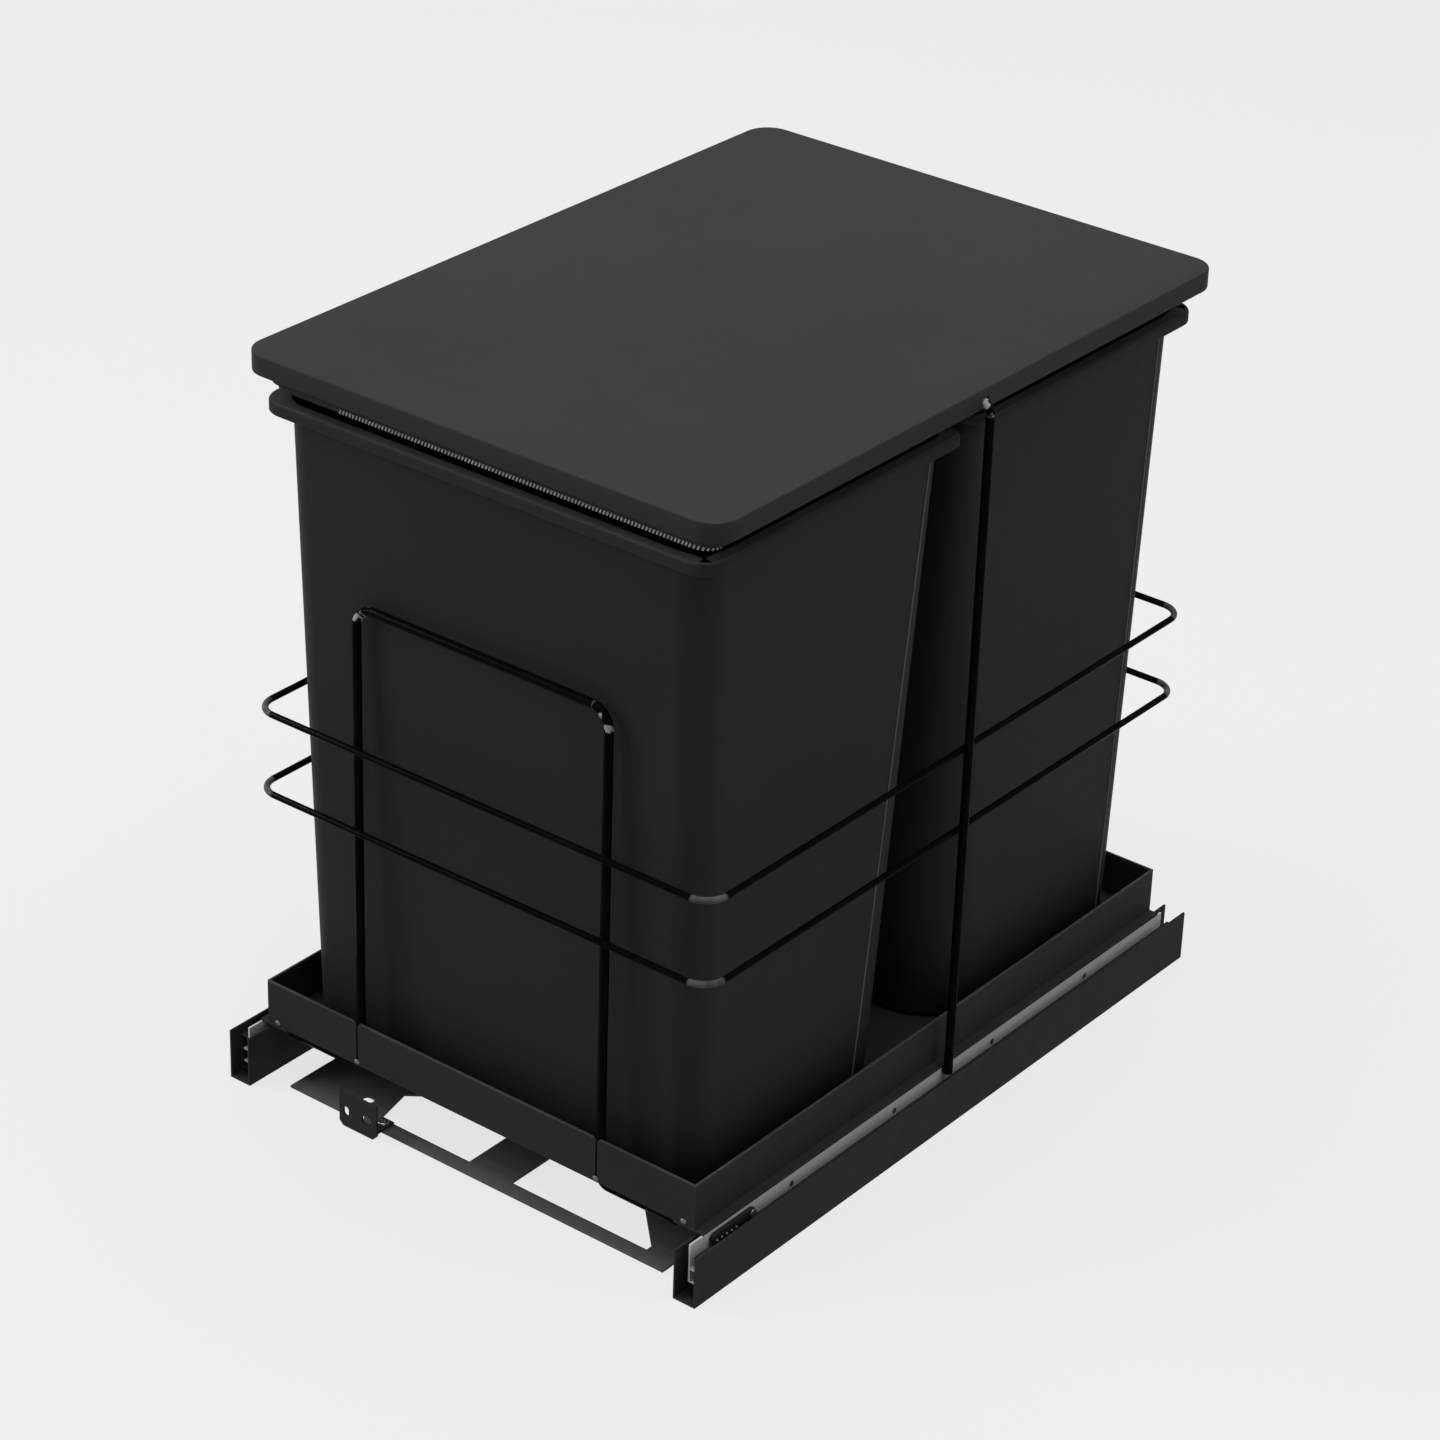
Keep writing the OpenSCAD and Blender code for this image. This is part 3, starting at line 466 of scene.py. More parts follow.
def wallRing(z, inset):
    share = (z - binSet["low"]) / (binSet["top"] - binSet["low"])
    return {
        "z": z, "half": binSet["half"] + binSet["sideDraft"] * share - inset,
        "front": binSet["front"] - binSet["endDraft"] * share + inset,
        "back": binSet["back"] + binSet["endDraft"] * share - inset,
        "frontR": binSet["frontR"] - inset,
        "backR": binSet["backR"] + binSet["backRDraft"] * share - inset,
    }


def rimRing(z, inset):
    return {
        "z": z, "half": binSet["rimHalf"] - inset,
        "front": binSet["rimFront"] + inset, "back": binSet["rimBack"] - inset,
        "frontR": binSet["rimFrontR"] - inset, "backR": binSet["rimBackR"] - inset,
    }


foot, brim, wall = binSet["low"], binSet["top"], binSet["wall"]
rimFoot, insideFloor = binSet["rimLow"], binSet["low"] + binSet["floor"]
# up the outside, out and down under the rim, over its top, and down the inside to the floor
binRings = [
    wallRing(foot, 4.2), wallRing(foot + 0.5, 2.0), wallRing(foot + 1.6, 0.6), wallRing(foot + 3.6, 0),
    wallRing(brim - 4.6, 0), wallRing(brim - 2.9, -0.4), wallRing(brim - 2.2, -1.4), wallRing(brim - 2.0, -3.0),
    rimRing(brim - 2.0, 3.4), rimRing(brim - 2.5, 2.3), rimRing(brim - 3.4, 2.0),
    rimRing(rimFoot + 0.5, 2.0), rimRing(rimFoot, 1.5), rimRing(rimFoot, 0.5), rimRing(rimFoot + 0.5, 0),
    rimRing(brim - 1.9, 0), rimRing(brim - 1.2, 0.15), rimRing(brim - 0.5, 0.6), rimRing(brim - 0.1, 1.3),
    rimRing(brim, 2.2),
    wallRing(brim, -0.6), wallRing(brim - 0.1, 0.6), wallRing(brim - 0.6, 1.5), wallRing(brim - 1.6, wall),
    wallRing(foot + 7.0, wall), wallRing(foot + 4.2, wall + 0.8), wallRing(insideFloor + 0.4, wall + 2.4),
    wallRing(insideFloor, wall + 5.0),
]
binFront = newPiece("binFrontShell")
loftRings(binFront, binRings)
endPiece(binFront, 40)
binRear = copyMirrored(binFront, "binRearShell", "Y")
fit(binFront, "front_bin", "bin", binPlastic, "bin_front")
fit(binRear, "rear_bin", "bin", binPlastic, "bin_rear")
print("bins modelled")


lid = {
    "half": 170.7, "halfLen": 238.0, "low": 469.4, "top": 481.8, "radius": 17.0, "skin": 2.4, "wall": 2.2,
    "skirtInset": 10.0, "skirtLow": 461.5, "skirtR": 10.0, "flange": 8.6, "skirtWall": 2.0,
    "groove": 3.1, "grooveTop": 476.1, "saddleWall": 2.0,
}


def lidRing(z, inset, radius=None):
    return {
        "z": z, "half": lid["half"] - inset, "front": -lid["halfLen"] + inset, "back": lid["halfLen"] - inset,
        "frontR": radius or lid["radius"] - inset, "backR": radius or lid["radius"] - inset,
    }


lidLow, lidTop, lidWall = lid["low"], lid["top"], lid["wall"]
ceiling = lidTop - lid["skin"]
skirt, skirtR, skirtLow = lid["skirtInset"], lid["skirtR"], lid["skirtLow"]
skirtWall, flange = lid["skirtWall"], lid["flange"]
# down the outer edge, up inside it, down the skirt, in along its flange, and up again to the ceiling
lidRings = [
    lidRing(lidTop, 1.3), lidRing(lidTop - 0.06, 0.75), lidRing(lidTop - 0.24, 0.32), lidRing(lidTop - 0.55, 0.08),
    lidRing(lidTop - 1.0, 0),
    lidRing(lidLow + 0.6, 0), lidRing(lidLow + 0.15, 0.15), lidRing(lidLow, 0.6),
    lidRing(lidLow, lidWall - 0.3), lidRing(lidLow + 0.3, lidWall),
    lidRing(ceiling - 0.8, lidWall), lidRing(ceiling, lidWall + 0.8),
    lidRing(ceiling, skirt - 0.8, skirtR), lidRing(ceiling - 0.8, skirt, skirtR),
    lidRing(skirtLow + 0.5, skirt, skirtR), lidRing(skirtLow, skirt + 0.5, skirtR - 0.5),
    lidRing(skirtLow, skirt + flange - 0.4, 2.0), lidRing(skirtLow + 0.4, skirt + flange, 1.6),
    lidRing(skirtLow + skirtWall, skirt + flange, 1.6),
    lidRing(skirtLow + skirtWall, skirt + skirtWall, skirtR - skirtWall),
    lidRing(ceiling - 0.6, skirt + skirtWall, skirtR - skirtWall),
    lidRing(ceiling, skirt + skirtWall + 0.6, skirtR - skirtWall - 0.6),
]
lidShell = newPiece("lidShell")
loftRings(lidShell, lidRings)
endPiece(lidShell, 40)

# the groove that sits over the tall hoop's bar
groove = newPiece("grooveCutter")
addBlock((-lid["half"] - 5, -lid["groove"], skirtLow - 5), (lid["half"] + 5, lid["groove"], lid["grooveTop"]))
bpy.ops.object.mode_set(mode="OBJECT")
cutWith(lidShell, groove)
bpy.ops.object.mode_set(mode="EDIT")
endPiece(lidShell, 40)
fit(lidShell, "lid", "lid", lidPlastic, "lid")

# ribs under the lid, at shares of its length and of its width
ribs = {"across": (-0.36, -0.24, -0.12, 0.12, 0.24, 0.36), "along": (-0.25, 0.0, 0.25), "thick": 1.6,
        "lowest": 471.4, "edge": 0.35, "sink": 0.4, "grooveGap": 1.0, "roofOver": 0.5, "roofEdge": 0.3}
lidRibs = newPiece("lidRibs")
insideX, insideY = lid["half"] - lidWall / 2, lid["halfLen"] - lidWall / 2
ribTop, ribHalf = ceiling + ribs["sink"], ribs["thick"] / 2
for share in ribs["across"]:
    y = share * 2 * lid["halfLen"]
    addBlock((-insideX, y - ribHalf, ribs["lowest"]), (insideX, y + ribHalf, ribTop), ribs["edge"])
for share in ribs["along"]:
    x = share * 2 * lid["half"]
    for side in (-1, 1):
        start, end = sorted((side * (lid["groove"] + ribs["grooveGap"]), side * insideY))
        addBlock((x - ribHalf, start, ribs["lowest"]), (x + ribHalf, end, ribTop), ribs["edge"])
# saddle walls on both sides of the groove, and its roof
for side in (-1, 1):
    start, end = sorted((side * lid["groove"], side * (lid["groove"] + lid["saddleWall"])))
    addBlock((-insideX, start, lidLow), (insideX, end, ribTop), ribs["edge"])
roofY = lid["groove"] + ribs["roofOver"]
addBlock((-insideX, -roofY, lid["grooveTop"]), (insideX, roofY, ribTop), ribs["roofEdge"])
bpy.ops.object.mode_set(mode="OBJECT")
pick(lidRibs)
bpy.ops.object.shade_smooth_by_angle(angle=math.radians(40))
fit(lidRibs, "lid", "lid", lidPlastic)
print("lid modelled")


wireSet = {
    "hoopR": 2.8, "loopR": 2.0, "hoopX": 92.7, "hoopY": 228.3, "hoopTop": 343.8, "hoopBend": 13.0,
    "footZ": 34.7, "footBend": 7.0, "footEnd": 150.0,
    "tallX": 174.5, "tallFoot": 32.4, "tallTop": 473.0, "tallBend": 7.0,
    "loopX": 169.7, "loopY": 233.1, "loopBend": 14.5, "upperZ": 252.9, "lowerZ": 199.3,
    "sides": 20, "bendSteps": 12,
}


def startSection(piece, at, along, radius):
    # round section of the wire, square to the way it sets off
    bpy.ops.mesh.select_all(action="DESELECT")
    turn = Vector((0, 0, 1)).rotation_difference(Vector(along)).to_euler()
    bpy.ops.mesh.primitive_circle_add(vertices=wireSet["sides"], radius=radius * mm, fill_type="NOTHING",
                                      location=[c * mm for c in at], rotation=turn)


def runStraight(by):
    bpy.ops.mesh.extrude_region_move(TRANSFORM_OT_translate={"value": [c * mm for c in by]})


def runBend(centre, axis, degrees):
    # a spin turns the other way round its axis when no window is open
    bpy.ops.mesh.spin(steps=wireSet["bendSteps"], angle=-math.radians(degrees),
                      center=[c * mm for c in centre], axis=axis)


def runWire(piece, start, along, radius, moves):
    # each move is a straight way, or a bend with its centre, axis and angle
    startSection(piece, start, along, radius)
    for move in moves:
        if len(move) == 3 and not isinstance(move[0], tuple):
            runStraight(move)
        else:
            runBend(*move)


def capEnds(piece):
    bpy.ops.mesh.select_all(action="DESELECT")
    bpy.ops.mesh.select_mode(type="EDGE")
    bpy.ops.mesh.select_non_manifold()
    bpy.ops.mesh.fill_holes(sides=wireSet["sides"])
    bpy.ops.mesh.select_mode(type="VERT")


def endHoop(name, y):
    w = wireSet
    piece = newPiece(name)
    x, z, b, f = w["hoopX"], w["hoopTop"], w["hoopBend"], w["footBend"]
    runWire(piece, (-w["footEnd"], y, w["footZ"]), (1, 0, 0), w["hoopR"], [
        (w["footEnd"] - x - f, 0, 0), ((-x - f, y, w["footZ"] + f), (0, -1, 0), 90),
        (0, 0, z - b - w["footZ"] - f), ((-x + b, y, z - b), (0, 1, 0), 90),
        (2 * x - 2 * b, 0, 0), ((x - b, y, z - b), (0, 1, 0), 90),
        (0, 0, w["footZ"] + f - z + b), ((x + f, y, w["footZ"] + f), (0, -1, 0), 90),
        (w["footEnd"] - x - f, 0, 0),
    ])
    capEnds(piece)
    return endPiece(piece)


def tallHoop(name):
    w = wireSet
    piece = newPiece(name)
    x, z, b = w["tallX"], w["tallTop"], w["tallBend"]
    runWire(piece, (-x, 0, w["tallFoot"]), (0, 0, 1), w["hoopR"], [
        (0, 0, z - b - w["tallFoot"]), ((-x + b, 0, z - b), (0, 1, 0), 90),
        (2 * x - 2 * b, 0, 0), ((x - b, 0, z - b), (0, 1, 0), 90), (0, 0, w["tallFoot"] - z + b),
    ])
    capEnds(piece)
    return endPiece(piece)


def wireLoop(name, z):
    w = wireSet
    piece = newPiece(name)
    x, y, b = w["loopX"], w["loopY"], w["loopBend"]
    runWire(piece, (-x + b, -y, z), (1, 0, 0), w["loopR"], [
        (2 * x - 2 * b, 0, 0), ((x - b, -y + b, z), (0, 0, 1), 90),
        (0, 2 * y - 2 * b, 0), ((x - b, y - b, z), (0, 0, 1), 90),
        (2 * b - 2 * x, 0, 0), ((-x + b, y - b, z), (0, 0, 1), 90),
        (0, 2 * b - 2 * y, 0), ((-x + b, -y + b, z), (0, 0, 1), 90),
    ])
    return endPiece(piece, weld=0.00005)


wires = [
    (endHoop("frontHoopWire", -wireSet["hoopY"]), "front_hoop"),
    (endHoop("rearHoopWire", wireSet["hoopY"]), "rear_hoop"),
    (tallHoop("tallHoopWire"), "tall_hoop"),
    (wireLoop("upperLoopWire", wireSet["upperZ"]), "upper_loop"),
    (wireLoop("lowerLoopWire", wireSet["lowerZ"]), "lower_loop"),
]
for piece, node in wires:
    fit(piece, "carriage", "wire", wirePaint, node)
print("wires modelled")


seal = {
    "half": 156.7, "halfLen": 227.1, "radius": 10.0, "wide": 3.0, "low": 458.4, "high": 461.5,
    "round": 0.7, "pitch": 2.43, "ribR": 0.62, "ribStart": -104.0, "ribSides": 8, "ribLean": 24, "cornerRibs": 6,
    "ribShort": 0.5, "ribSink": 0.1, "gap": 3.1,
}


def sealStrip(name):
    # soft strip in a C, swept round the front half of the skirt
    piece = newPiece(name)
    bpy.ops.mesh.select_all(action="DESELECT")
    x, y, r = seal["half"], seal["halfLen"], seal["radius"]
    w, low, high = seal["wide"], seal["low"], seal["high"]
    at = ((-x + w / 2) * mm, -seal["gap"] * mm, (low + high) / 2 * mm)
    bpy.ops.mesh.primitive_plane_add(size=1, location=at, rotation=(math.radians(90), 0, 0))
    bpy.ops.transform.resize(value=(w * mm, 1, (high - low) * mm), center_override=at)
    bpy.ops.mesh.bevel(affect="VERTICES", offset=seal["round"] * mm, segments=4)
    runStraight((0, seal["gap"] + r - y, 0))
    runBend((-x + r, -y + r, 0), (0, 0, 1), 90)
    runStraight((2 * x - 2 * r, 0, 0))
    runBend((x - r, -y + r, 0), (0, 0, 1), 90)
    runStraight((0, y - r - seal["gap"], 0))
    return endPiece(piece, 50)


def sealRibs(name):
    # light moulded ribs on the strip's outer face, from the left part of the front to past the right corner
    piece = newPiece(name)
    x, y, r, rib = seal["half"], seal["halfLen"], seal["radius"], seal["ribR"]
    middle, height = (seal["low"] + seal["high"]) / 2 * mm, (seal["high"] - seal["low"] - seal["ribShort"]) * mm

    def addRib(atX, atY, turn=0.0):
        # each rib leans along the strip
        bpy.ops.mesh.select_all(action="DESELECT")
        bpy.ops.mesh.primitive_cylinder_add(vertices=seal["ribSides"], radius=rib * mm, depth=height,
                                            location=(atX * mm, atY * mm, middle), end_fill_type="TRIFAN",
                                            rotation=(0, math.radians(seal["ribLean"]), turn))

    step = seal["pitch"]
    count = round((x - r - seal["ribStart"]) / step)
    for n in range(count):
        addRib(seal["ribStart"] + n * step, -y + seal["ribSink"])
    for n in range(seal["cornerRibs"] + 1):
        turn = math.radians(90 / seal["cornerRibs"] * n)
        reach = r - seal["ribSink"]
        addRib(x - r + reach * math.sin(turn), -y + r - reach * math.cos(turn), turn)
    return endPiece(piece, 50, closeWeld)


sealFront = sealStrip("sealStripFront")
ribsFront = sealRibs("sealRibsFront")
sealRear = copyMirrored(copyMirrored(sealFront, "sealTurn", "X"), "sealStripRear", "Y")
ribsRear = copyMirrored(copyMirrored(ribsFront, "ribsTurn", "X"), "sealRibsRear", "Y")
for name in ("sealTurn", "ribsTurn"):
    bpy.data.objects.remove(bpy.data.objects[name])
fit(sealFront, "lid", "seal", stripRubber, "seal_front")
fit(sealRear, "lid", "seal", stripRubber, "seal_rear")
fit(ribsFront, "lid", "seal", sealRubber)
fit(ribsRear, "lid", "seal", sealRubber)
print("seals modelled")


def addBead(at, size):
    # a drop of weld metal, in millimetres, flattened to its size
    bpy.ops.mesh.select_all(action="DESELECT")
    middle = [c * mm for c in at]
    bpy.ops.mesh.primitive_uv_sphere_add(segments=12, ring_count=8, radius=0.5, location=middle)
    bpy.ops.transform.resize(value=[s * mm for s in size], center_override=middle)


weld = {"hoop": (5.6, 2.6, 4.2), "tall": (2.6, 5.6, 4.2), "web": (2.4, 6.4, 3.4), "nub": (4.6, 1.4, 3.2),
        "webX": wireSet["tallX"] - wireSet["hoopR"] + 0.3, "webZ": 34.4,
        "nubX": (92.7, 157.5), "nubY": 232.5, "nubZ": 40.0}
touchX, touchY = wireSet["loopX"] + wireSet["loopR"], wireSet["loopY"] - wireSet["loopR"]
wireWelds = newPiece("wireWelds")
for z in (wireSet["upperZ"], wireSet["lowerZ"]):
    for sx in (-1, 1):
        for sy in (-1, 1):
            addBead((sx * wireSet["hoopX"], sy * touchY, z), weld["hoop"])
        addBead((sx * touchX, 0, z), weld["tall"])
for sx in (-1, 1):
    addBead((sx * weld["webX"], 0, weld["webZ"]), weld["web"])
endPiece(wireWelds, 60, closeWeld)
fit(wireWelds, "carriage", "wire", wirePaint)

# weld beads where the hoop legs leave the tray, in a light steel that paints the glint of the wire bends there
trayWelds = newPiece("trayWelds")
for sx in (-1, 1):
    for sy in (-1, 1):
        for x in weld["nubX"]:
            addBead((sx * x, sy * weld["nubY"], weld["nubZ"]), weld["nub"])
endPiece(trayWelds, 60, closeWeld)
fit(trayWelds, "carriage", "tray", weldGlintSteel)

# pale beads on the ends of the lever's grip ribs, their colour a painted glint
tips = {"x": 174.9, "front": -223.1, "pitch": 4.4, "count": 5, "z": 29.9, "size": (1.2, 1.5, 1.5)}
tipsRight = newPiece("gripTipsRight")
for n in range(tips["count"]):
    addBead((tips["x"], tips["front"] + n * tips["pitch"], tips["z"]), tips["size"])
endPiece(tipsRight, 60, closeWeld)
tipsLeft = copyMirrored(tipsRight, "gripTipsLeft", "X")
fit(tipsRight, "lever_right", "lever", gripGlintPlastic)
fit(tipsLeft, "lever_left", "lever", gripGlintPlastic)

# thin moulded line where each bin's side wall meets the corner towards the cabinet's back, in a pale plastic that
# paints the highlight along that corner
line = {"radius": 0.45, "sides": 6, "low": 43.0, "high": 445.6}


def mouldLines(name, side):
    # side 1 is the front bin's inner corner, and -1 the outer corner, mirrored for the rear bin
    piece = newPiece(name)
    span = binSet["top"] - binSet["low"]
    ends = []
    for z in (line["low"], line["high"]):
        share = (z - binSet["low"]) / span
        if side > 0:
            tangent = binSet["back"] + binSet["endDraft"] * share - binSet["backR"] - binSet["backRDraft"] * share
        else:
            tangent = -binSet["front"] + binSet["endDraft"] * share - binSet["frontR"]
        ends.append(Vector((binSet["half"] + binSet["sideDraft"] * share, tangent, z)) * mm)
    for sx in (-1, 1):
        low, high = (Vector((sx * e.x, e.y, e.z)) for e in ends)
        bpy.ops.mesh.select_all(action="DESELECT")
        turn = Vector((0, 0, 1)).rotation_difference(high - low).to_euler()
        bpy.ops.mesh.primitive_cylinder_add(vertices=line["sides"], radius=line["radius"] * mm,
                                            depth=(high - low).length, location=(low + high) / 2, rotation=turn,
                                            end_fill_type="TRIFAN")
    return endPiece(piece, 50, closeWeld)


linesFront = mouldLines("mouldLinesFront", 1)
linesRear = mouldLines("mouldLinesRear", -1)
fit(linesFront, "front_bin", "bin", seamHighlightPlastic)
fit(linesRear, "rear_bin", "bin", seamHighlightPlastic)
print("welds, tips and mould lines modelled")


screw = {
    "shankR": 1.95, "headR": 3.6, "sides": 16, "round": 0.45, "recess": 3.9, "arm": 0.95, "deep": 1.2,
    "tray": {"at": (-157.2, -210.0), "low": 33.0, "seat": 38.7, "head": 2.0}, "count": 4, "pitch": 140.0,
    "bracket": {"at": (-74.4, -230.0), "low": 0.0, "seat": 3.0, "head": 1.6},
}


def addPin(x, y, low, high, radius):
    # an upright round pin between two heights, in millimetres
    bpy.ops.mesh.select_all(action="DESELECT")
    bpy.ops.mesh.primitive_cylinder_add(vertices=screw["sides"], radius=radius * mm, depth=(high - low) * mm,
                                        location=(x * mm, y * mm, (low + high) / 2 * mm))


def screwPiece(name, place):
    # pan head with a cross recess on a plain shank
    piece = newPiece(name)
    (x, y), seat = place["at"], place["seat"]
    top = seat + place["head"]
    addPin(x, y, place["low"], seat, screw["shankR"])
    addPin(x, y, seat, top, screw["headR"])
    selectWhere(piece, lambda co: near(co.z, top * mm))
    bpy.ops.mesh.bevel(offset=screw["round"] * place["head"] * mm, segments=3, affect="EDGES")
    bpy.ops.object.mode_set(mode="OBJECT")
    cross = newPiece("crossCutter")
    long, short = screw["recess"] / 2, screw["arm"] / 2
    for halfX, halfY in ((long, short), (short, long)):
        addBlock((x - halfX, y - halfY, top - screw["deep"]), (x + halfX, y + halfY, top + 1))
    bpy.ops.object.mode_set(mode="OBJECT")
    cutWith(piece, cross)
    bpy.ops.object.mode_set(mode="EDIT")
    bpy.ops.mesh.select_all(action="SELECT")
    return piece


trayScrews = screwPiece("trayScrewSet", screw["tray"])
for n in range(screw["count"] - 1):
    bpy.ops.mesh.duplicate_move(TRANSFORM_OT_translate={"value": (0, screw["pitch"] * mm, 0)})
bpy.ops.mesh.select_all(action="SELECT")
bpy.ops.mesh.duplicate_move(TRANSFORM_OT_translate={"value": (-2 * screw["tray"]["at"][0] * mm, 0, 0)})
endPiece(trayScrews, 40, closeWeld)
fit(trayScrews, "carriage", "fastener", fastenerZinc, "tray_screws")
bracketScrew = screwPiece("bracketScrewHead", screw["bracket"])
endPiece(bracketScrew, 40, closeWeld)
fit(bracketScrew, "floor_frame", "fastener", fastenerZinc, "bracket_screw")

rivet = {"x": (162.6, 163.6, 166.3, 167.3), "y": (-150.0, 0.0, 150.0), "z": 12.0, "headR": 4.0, "shankR": 1.95,
         "sides": 16, "dome": 0.75}


def addRivet(y):
    # a head on either side of the sheet, domed outwards, and the shank between them
    inner, innerSeat, outerSeat, outer = rivet["x"]
    rounds = ((inner, innerSeat, rivet["headR"], inner), (innerSeat, outerSeat, rivet["shankR"], None),
              (outerSeat, outer, rivet["headR"], outer))
    for low, high, radius, face in rounds:
        bpy.ops.mesh.select_all(action="DESELECT")
        bpy.ops.mesh.primitive_cylinder_add(vertices=rivet["sides"], radius=radius * mm, depth=(high - low) * mm,
                                            location=((low + high) / 2 * mm, y * mm, rivet["z"] * mm),
                                            rotation=(0, math.radians(90), 0))
        if face is not None:
            selectWhere(earRivets, lambda co: near(co.x, face * mm) and abs(co.y - y * mm) < 5 * mm)
            bpy.ops.mesh.bevel(offset=rivet["dome"] * mm, segments=3, affect="EDGES")


earRivets = newPiece("earRivetsRight")
for y in rivet["y"]:
    addRivet(y)
endPiece(earRivets, 40, closeWeld)
earRivetsLeft = copyMirrored(earRivets, "earRivetsLeft", "X")
fit(earRivets, "floor_frame", "fastener", fastenerZinc, "ear_rivets")
fit(earRivetsLeft, "floor_frame", "fastener", fastenerZinc)

bumper = {"x": (166.3, 171.3), "y": (236.8, 244.8), "z": (1.2, 23.2), "edge": 1.1}
bumpers = newPiece("rearBumperBlocks")
for sx in (-1, 1):
    start, end = sorted(sx * x for x in bumper["x"])
    addBlock((start, bumper["y"][0], bumper["z"][0]), (end, bumper["y"][1], bumper["z"][1]), bumper["edge"], 3)
endPiece(bumpers, 40, closeWeld)
fit(bumpers, "floor_frame", "bumper", bumperRubber, "rear_bumpers")

leverSet = {"x": (172.0, 174.4), "y": (-227.0, -187.0), "z": (27.9, 34.5), "round": 0.45,
            "gripX": (174.2, 175.2), "gripFront": -223.7, "gripWide": 1.2, "gripTop": 29.9, "gripEdge": 0.25,
            "pitch": 4.4, "count": 5}


def leverPiece(name):
    # a flat strip with round ends, drawn out to its thickness, with grip ribs along its lower edge
    piece = newPiece(name)
    bpy.ops.mesh.select_all(action="DESELECT")
    (x0, x1), (y0, y1), (z0, z1) = leverSet["x"], leverSet["y"], leverSet["z"]
    middle = [c * mm for c in (x0, (y0 + y1) / 2, (z0 + z1) / 2)]
    bpy.ops.mesh.primitive_plane_add(size=1, location=middle, rotation=(0, math.radians(90), 0))
    bpy.ops.transform.resize(value=(1, (y1 - y0) * mm, (z1 - z0) * mm), center_override=middle)
    endR = (z1 - z0) / 2 * 0.995  # just short of the half height, so that no two points meet
    bpy.ops.mesh.bevel(affect="VERTICES", offset=endR * mm, segments=8)
    bpy.ops.mesh.extrude_region_move(TRANSFORM_OT_translate={"value": ((x1 - x0) * mm, 0, 0)})
    bpy.ops.mesh.select_all(action="DESELECT")
    bpy.ops.mesh.select_mode(type="EDGE")
    bpy.ops.mesh.edges_select_sharp(sharpness=math.radians(60))
    bpy.ops.mesh.bevel(offset=leverSet["round"] * mm, segments=2, affect="EDGES")
    bpy.ops.mesh.select_mode(type="VERT")
    inner, outer = leverSet["gripX"]
    for n in range(leverSet["count"]):
        y = leverSet["gripFront"] + n * leverSet["pitch"]
        addBlock((inner, y, z0), (outer, y + leverSet["gripWide"], leverSet["gripTop"]), leverSet["gripEdge"])
    return endPiece(piece, 40, closeWeld)


leverRight = leverPiece("leverRight")
leverLeft = copyMirrored(leverRight, "leverLeft", "X")
fit(leverRight, "lever_right", "lever", leverPlastic, "release_lever_right")
fit(leverLeft, "lever_left", "lever", leverPlastic, "release_lever_left")
print("fasteners, bumpers and levers modelled")


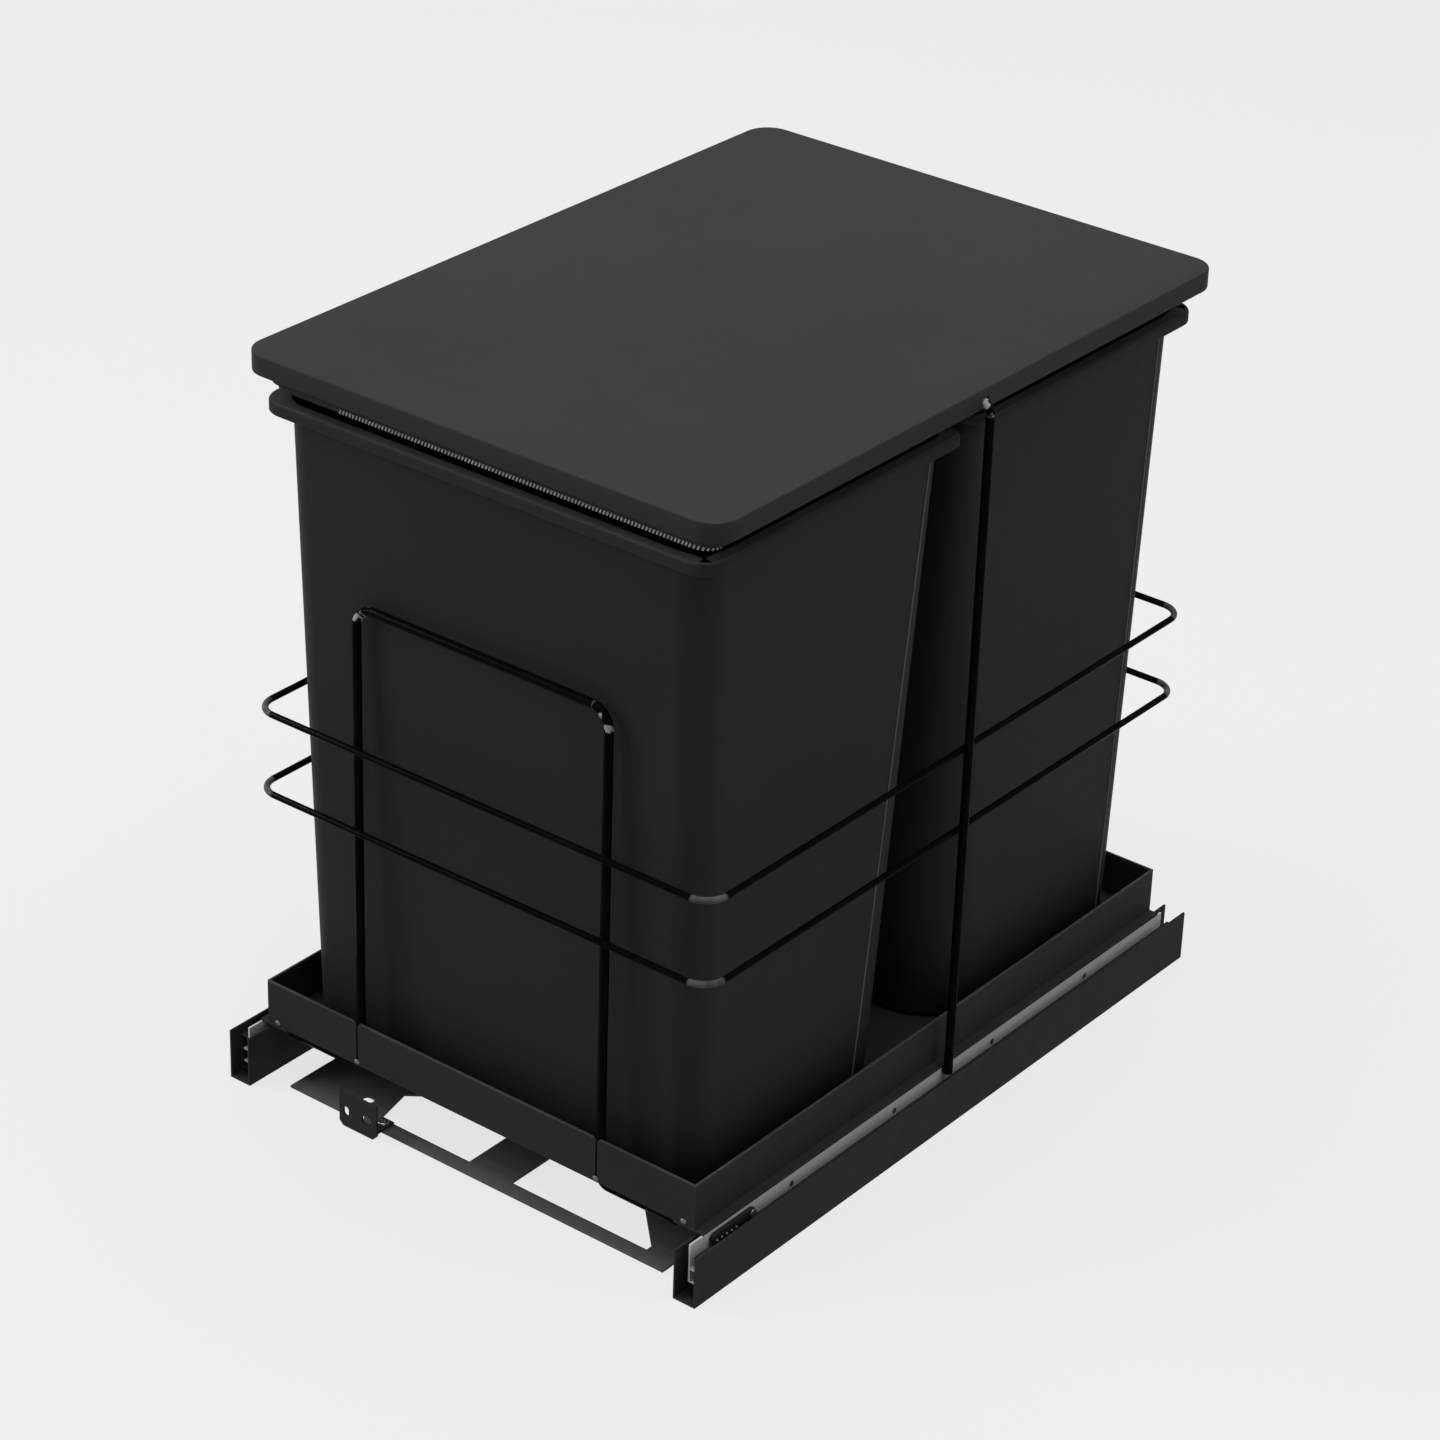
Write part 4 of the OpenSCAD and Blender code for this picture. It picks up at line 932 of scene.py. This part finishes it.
# a pale floor that glows evenly, just under the rails, with soft lights and two small ones for the highlights
studio = {
    "floor": (0.75, 0.75, 0.75), "floorDiffuse": 0.05, "floorSize": 60, "floorZ": -0.0004, "world": 0.60,
    "aim": (0, 0, 0.2),
    "lights": {
        "topLight": {"at": (0.1, 0.0, 3.0), "size": 2.4, "power": 130},
        "leftLight": {"at": (-3.21, -2.51, 2.1), "size": 2.2, "power": 160},
        "rightLight": {"at": (3.94, 1.06, 2.1), "size": 2.2, "power": 40},
        "leftSpark": {"at": (-2.9, -1.67, 3.2), "size": 0.25, "power": 40},
        "rightSpark": {"at": (3.3, 0.58, 3.2), "size": 0.25, "power": 16},
    },
}
clearSelection()
bpy.ops.mesh.primitive_plane_add(size=studio["floorSize"], location=(0, 0, studio["floorZ"]))
floor = bpy.context.active_object
floor.name = "studioFloor"
floorPaper, _, shader, _ = startMaterial("floorPaper")
shader.inputs["Base Color"].default_value = (studio["floorDiffuse"],) * 3 + (1,)
shader.inputs["Roughness"].default_value = 1.0
shader.inputs["Specular IOR Level"].default_value = 0.0
shader.inputs["Emission Color"].default_value = (*studio["floor"], 1)
shader.inputs["Emission Strength"].default_value = 1.0
floor.data.materials.append(floorPaper)

world = bpy.data.worlds.new("studioWorld")
world.use_nodes = True
bpy.context.scene.world = world
world.node_tree.nodes["Background"].inputs["Color"].default_value = (1, 1, 1, 1)
world.node_tree.nodes["Background"].inputs["Strength"].default_value = studio["world"]

for name, spot in studio["lights"].items():
    bpy.ops.object.light_add(type="AREA", location=spot["at"])
    light = bpy.context.active_object
    light.name = name
    light.data.size = spot["size"]
    light.data.energy = spot["power"]
    aim = Vector(studio["aim"]) - Vector(spot["at"])
    light.rotation_mode = "QUATERNION"
    light.rotation_quaternion = aim.to_track_quat("-Z", "Y")

# fitted to the photo's edges, with the azimuth counted from the front towards the right
camera = {"lens": 108.66, "sensor": 36, "azimuth": 37.5598, "elevation": 28.6268, "roll": 1.9298,
          "at": (1.39813, -1.82756, 1.46642)}
bpy.ops.object.camera_add(location=camera["at"])
eye = bpy.context.active_object
eye.name = "photoCamera"
eye.data.lens = camera["lens"]
eye.data.sensor_width = camera["sensor"]
a, e, r = (math.radians(camera[k]) for k in ("azimuth", "elevation", "roll"))
back = Vector((math.sin(a) * math.cos(e), -math.cos(a) * math.cos(e), math.sin(e)))
right = Vector((math.cos(a), math.sin(a), 0))
up = back.cross(right)
right, up = math.cos(r) * right + math.sin(r) * up, -math.sin(r) * right + math.cos(r) * up
eye.rotation_mode = "QUATERNION"
eye.rotation_quaternion = Matrix((right, up, back)).transposed().to_quaternion()
bpy.context.scene.camera = eye
bpy.context.scene.view_settings.view_transform = "Standard"
clearSelection()
print("studio set")
